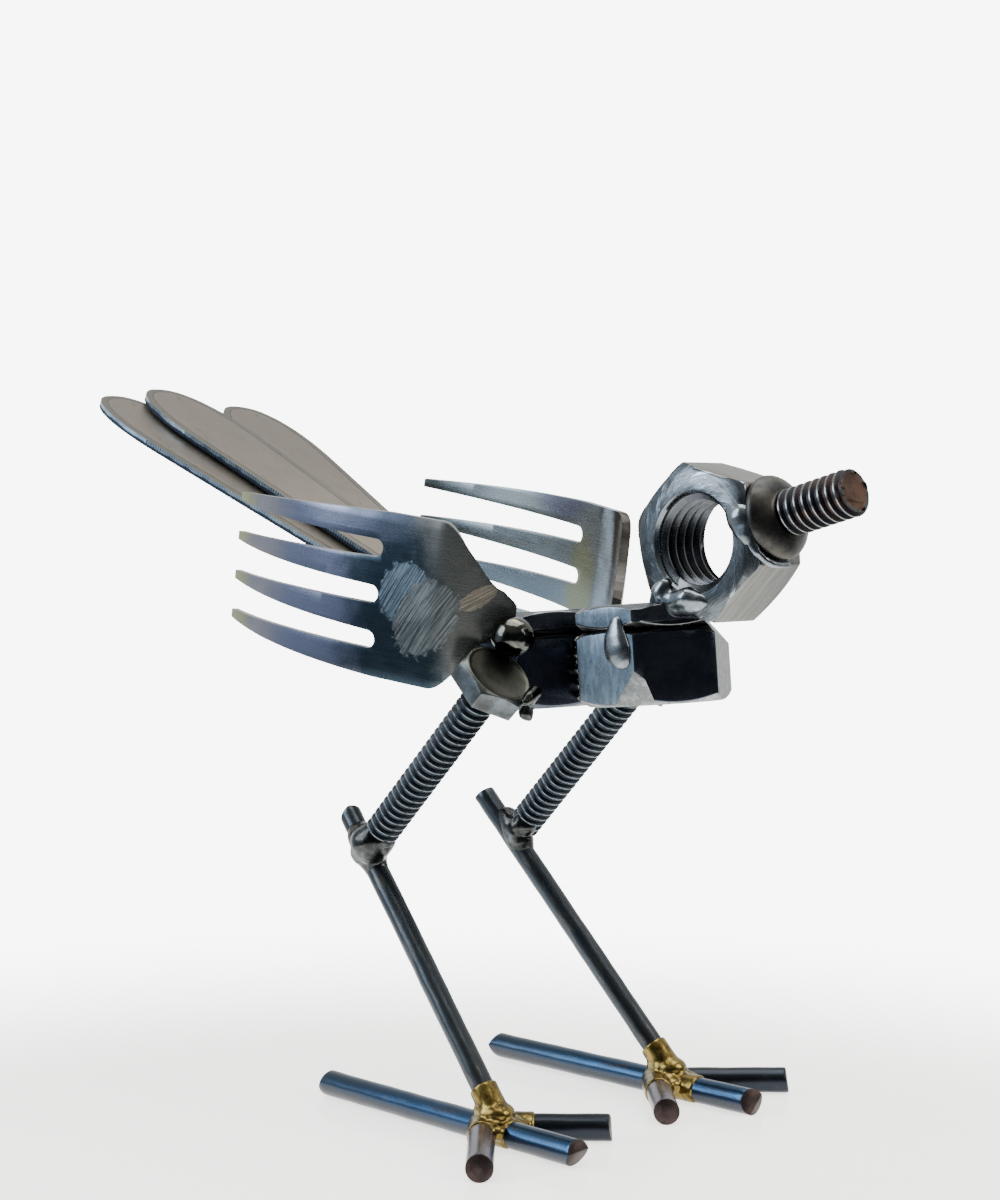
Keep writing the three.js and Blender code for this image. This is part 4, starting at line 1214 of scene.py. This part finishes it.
# %% Neck and waist
# Each stop is its place forwards, sideways and upwards from the seat of the head, and its size.
NECK_RUNS = [((-6.2, 5.0, -0.9, 1.6), (-3.0, 5.3, -0.7, 2.1), (0.5, 5.4, -0.9, 1.9), (4.6, 5.0, -1.1, 1.4)),
             ((-8.2, 5.0, -0.8, 0.9), (-6.6, 5.7, 0.1, 1.5), (-5.0, 6.0, 1.3, 2.3), (-4.2, 6.2, 2.7, 1.5)),
             ((-5.0, 5.9, 1.0, 2.1), (-2.6, 6.2, 0.0, 1.7), (0.4, 6.3, 0.3, 1.9), (3.0, 6.0, -0.2, 1.3),
              (5.0, 5.4, -0.9, 0.9))]
seat = lock_rise + LOCK_HEIGHT / 2
for name, side, back, runs in (("right", -1, 2.5, NECK_RUNS), ("left", 1, 6.5, NECK_RUNS[:1])):
    bm = bmesh.new()
    for run in runs:
        bead(bm, [(on_body(front_nut, HEAD_AHEAD - back + forward, side * left, seat + rise), size)
                  for forward, left, rise, size in run])
    weld(f"{name}_neck_weld", bm, (0.24, 10, 0.15, 7 * side), silver_weld, [f"weld_neck_{name}"])

    bm = bmesh.new()
    for rise, size in ((-4.6, 1.4), (-2.2, 2.0), (0.6, 2.1), (3.2, 1.9), (5.0, 1.3)):
        lump(bm, on_body(rear_nut, corner_radius, side * 2.4, rise), (size, 2.6, size))
    weld(f"{name}_waist_weld", bm, (0.28, 12, 0.25, 9 * side), slag, [f"weld_waist_{name}"])

# %% The bright beads on the head and the chest
bm = bmesh.new()
run = ((7.8, 4.4, -5.2, 0.9), (9.0, 3.2, -5.3, 1.9), (10.0, 1.4, -5.4, 2.7), (10.6, -0.8, -5.4, 2.3),
       (11.2, -3.0, -5.6, 1.2), (11.9, -4.8, -5.6, 0.8), (12.4, -6.2, -4.6, 0.75), (12.5, -6.9, -3.0, 0.7),
       (12.5, -7.1, -1.0, 0.65), (12.5, -7.1, 1.0, 0.6))
bead(bm, [(head + beak_way * forward + beak_across * up + Vector((0, left, 0)), size)
          for forward, up, left, size in run], 0.75)
weld("beak_weld", bm, (0.2, 10, 0.1, 6), silver_weld)

bm = bmesh.new()
run = ((7.6, 1.3, 0.2), (6.2, 1.9, 0.0), (4.6, 2.6, -0.1), (3.2, 2.9, 0.1), (2.0, 2.3, 0.7), (1.2, 1.5, 1.3))
bead(bm, [(on_body(front_nut, 2.4 + slide, -NUT_FLATS / 2 - 0.05, rise), size) for rise, size, slide in run],
     0.42)
weld("chest_bead", bm, (0.2, 14, 0.0, 2), silver_weld, ["weld_chest"])

# %% The drip under the right hip and the seam of the tail
drip = legs["right"]["hip"]
bm = bmesh.new()
for run in (((7.6, 18.4, -1.8, 0.7), (7.5, 17.0, -1.0, 1.1), (6.8, 15.2, -0.4, 1.25), (5.6, 13.6, -0.4, 1.2),
             (4.4, 12.6, -0.2, 0.9)),
            ((5.2, 13.8, -1.2, 1.0), (4.0, 13.4, -2.6, 0.75), (3.1, 13.5, -4.2, 1.35), (3.6, 13.2, -5.1, 0.6))):
    bead(bm, [((drip.x + x, -y, drip.z + z), size) for x, y, z, size in run])
weld("hip_drip", bm, (0.17, 6, 0.1, 5), grey_weld, ["weld_drip"])

bm = bmesh.new()
for left, rise, size in ((-3.6, 0.5, 2.2), (0, 0.2, 3.2), (3.4, -0.4, 2.6), (1.0, -3.2, 2.2)):
    lump(bm, on_body(rear_nut, -corner_radius - 0.2, left, lock_rise + rise), (size, size * 1.1, size))
weld("tail_weld", bm, (0.28, 8, 0.3, 4), grey_weld, ["weld_tail"])

# %% The gold braze at the ankles
GLAZE = TOE_ROUND / 2 + 0.32
for name, leg in legs.items():
    side, ankle, rise = leg["side"], leg["ankle"], leg["rise"]
    centre = Vector((ankle.x, ankle.y, toe_height))
    onward = toe_way(side, 0)
    root = centre - onward * TOE_SETBACK
    bm = bmesh.new()
    sleeve(bm, ankle - rise, ankle + rise * 5.4, SHIN_DIAMETER / 2 + 0.5)
    sleeve(bm, centre - onward * 4.2, centre + onward * (4.4 if side < 0 else 7.4), GLAZE)
    for spread, reach in ((TOE_SPREAD, 6.2), (-TOE_SPREAD, 9.0)):
        sleeve(bm, root, root + toe_way(side, spread) * reach, GLAZE)
    for reach, size in ((0.0, 3.1), (1.2, 2.9), (-1.4, 2.6)):
        lump(bm, ankle + Vector((reach - 0.6, 0, 0.3)), (size, size, 2.0))
    for spread, reach, size in ((22, 4.4, 2.1), (22, 6.0, 1.6), (-22, 4.4, 2.1), (-22, 6.0, 1.5)):
        place = root + toe_way(side, spread) * (reach + 1.2) + Vector((0, 0, 0.8))
        lump(bm, place, (size, size, size * 0.9))
    bm = melt(bm, 0.2, 22, 0.08, 11 * side)
    slice_at(bm, (0, 0, 0.25), (0, 0, -1))
    close(bm)
    hand_over(f"{name}_ankle_braze", bm, [braze], [f"ankle_braze_{name}"], sharp=180)
print("pieces made:", len(pieces))

# %% [markdown]
# ## Floor, light and camera
# Metal shows what stands around it, so the light matters more than the colours. The bird stands on a
# plain pale floor in front of a white room; the side behind the camera is darker, which is what gives
# the nuts their deep sides. The world carries that room as a soft gradient, and three large area
# lights add the bright bands along the rods and threads.

# %% The floor
floor_bm = bmesh.new()
bmesh.ops.create_circle(floor_bm, cap_ends=True, segments=96, radius=0.6)
floor = link("floor", as_mesh("floor", floor_bm))
pale = Finish("pale_floor", metallic=0.0, Roughness=0.18, Emission_Strength=2.0,
              Base_Color=(0.78, 0.78, 0.76, 1), Emission_Color=(0.9, 0.89, 0.86, 1))
where = pale.node("ShaderNodeTexCoord", out="Object")
away = pale.node("ShaderNodeVectorMath", {"operation": "DISTANCE"}, {0: where, 1: (0.06, -0.06, 0)}, "Value")
floor.data.materials.append(pale.feed(Alpha=away.above(0.26, 0.11)))
print("floor of", round(floor.dimensions.x, 2), "m across")

# %% The room
world = bpy.data.worlds.new("room")
bpy.context.scene.world = world
world.use_nodes = True
room = Nodes(world.node_tree)
room.tree.nodes.clear()
way = room.node("ShaderNodeTexCoord", out="Generated")


def toward(direction):
    """1 where the room lies in a direction, -1 where it lies opposite."""
    values = {0: way, 1: Vector(direction).normalized()}
    return room.node("ShaderNodeVectorMath", {"operation": "DOT_PRODUCT"}, values, "Value")


backdrop = toward((-0.7, 0.7, 0.15)).above(-0.2, 0.5)
window = toward((-0.75, -0.65, 0.25)).above(0.72, 0.97)
ceiling = toward((0, 0, 1)).above(0.2, 0.9)
tone = room.mix(backdrop, (0.055, 0.065, 0.08), (1.35, 1.37, 1.35))
tone = room.mix(window * 0.8, tone, (0.8, 0.98, 1.2))
tone = room.mix(ceiling * 0.5, tone, (0.8, 0.77, 0.7))
seen = room.node("ShaderNodeLightPath", out="Is Camera Ray")
tone = room.mix(seen, tone, (7.6, 7.9, 7.7))
lit = room.node("ShaderNodeBackground", None, {"Color": tone, "Strength": 1.0})
output = room.tree.nodes.new("ShaderNodeOutputWorld")
room.tree.links.new(lit.socket, output.inputs["Surface"])
print("nodes in the room:", len(room.tree.nodes))


# %% Soft lights
def aim(thing, place, way):
    """Puts a light or a camera in its place and turns it to look along a way."""
    thing.location = place
    thing.rotation_mode = "QUATERNION"
    thing.rotation_quaternion = way.to_track_quat("-Z", "Y")


def softbox(name, place, size, power, colour):
    light = bpy.data.lights.new(name, "AREA")
    light.shape = "RECTANGLE"
    light.size, light.size_y = size
    light.energy, light.color = power, colour
    aim(link(name, light), place, middle - Vector(place))
    print(name, "of", power, "W")


middle = Vector((0.02, 0, 0.07))
softbox("cool_window", (-0.35, -0.55, 0.42), (0.35, 0.5), 5.0, (0.86, 0.93, 1.0))
softbox("warm_side", (0.62, 0.25, 0.45), (0.4, 0.4), 4.0, (1.0, 0.96, 0.9))
softbox("overhead", (0.0, 0.05, 0.75), (0.6, 0.6), 6.0, (1.0, 0.99, 0.97))

# %% The camera, as it was fitted to the photograph
CAMERA_TURN, CAMERA_TILT, CAMERA_AWAY = 45.13, 2.21, 412.38
FOCAL_PIXELS, PICTURE_HEIGHT, SENSOR = 2242.06, 1200, 36.0
camera_data = bpy.data.cameras.new("camera")
camera = link("camera", camera_data)
bpy.context.scene.camera = camera
turn, tilt = rad(CAMERA_TURN), rad(CAMERA_TILT)
back = Vector((math.sin(turn) * math.cos(tilt), -math.cos(turn) * math.cos(tilt), math.sin(tilt)))
target = Vector((15.39, 0, 92.13)) + shift
aim(camera, (target + back * CAMERA_AWAY) * MM, -back)
camera_data.sensor_width = SENSOR
camera_data.lens = SENSOR * FOCAL_PIXELS / PICTURE_HEIGHT
camera_data.clip_start, camera_data.clip_end = 0.02, 20
print("camera at", [round(c, 4) for c in camera.location], "lens", round(camera_data.lens, 2))
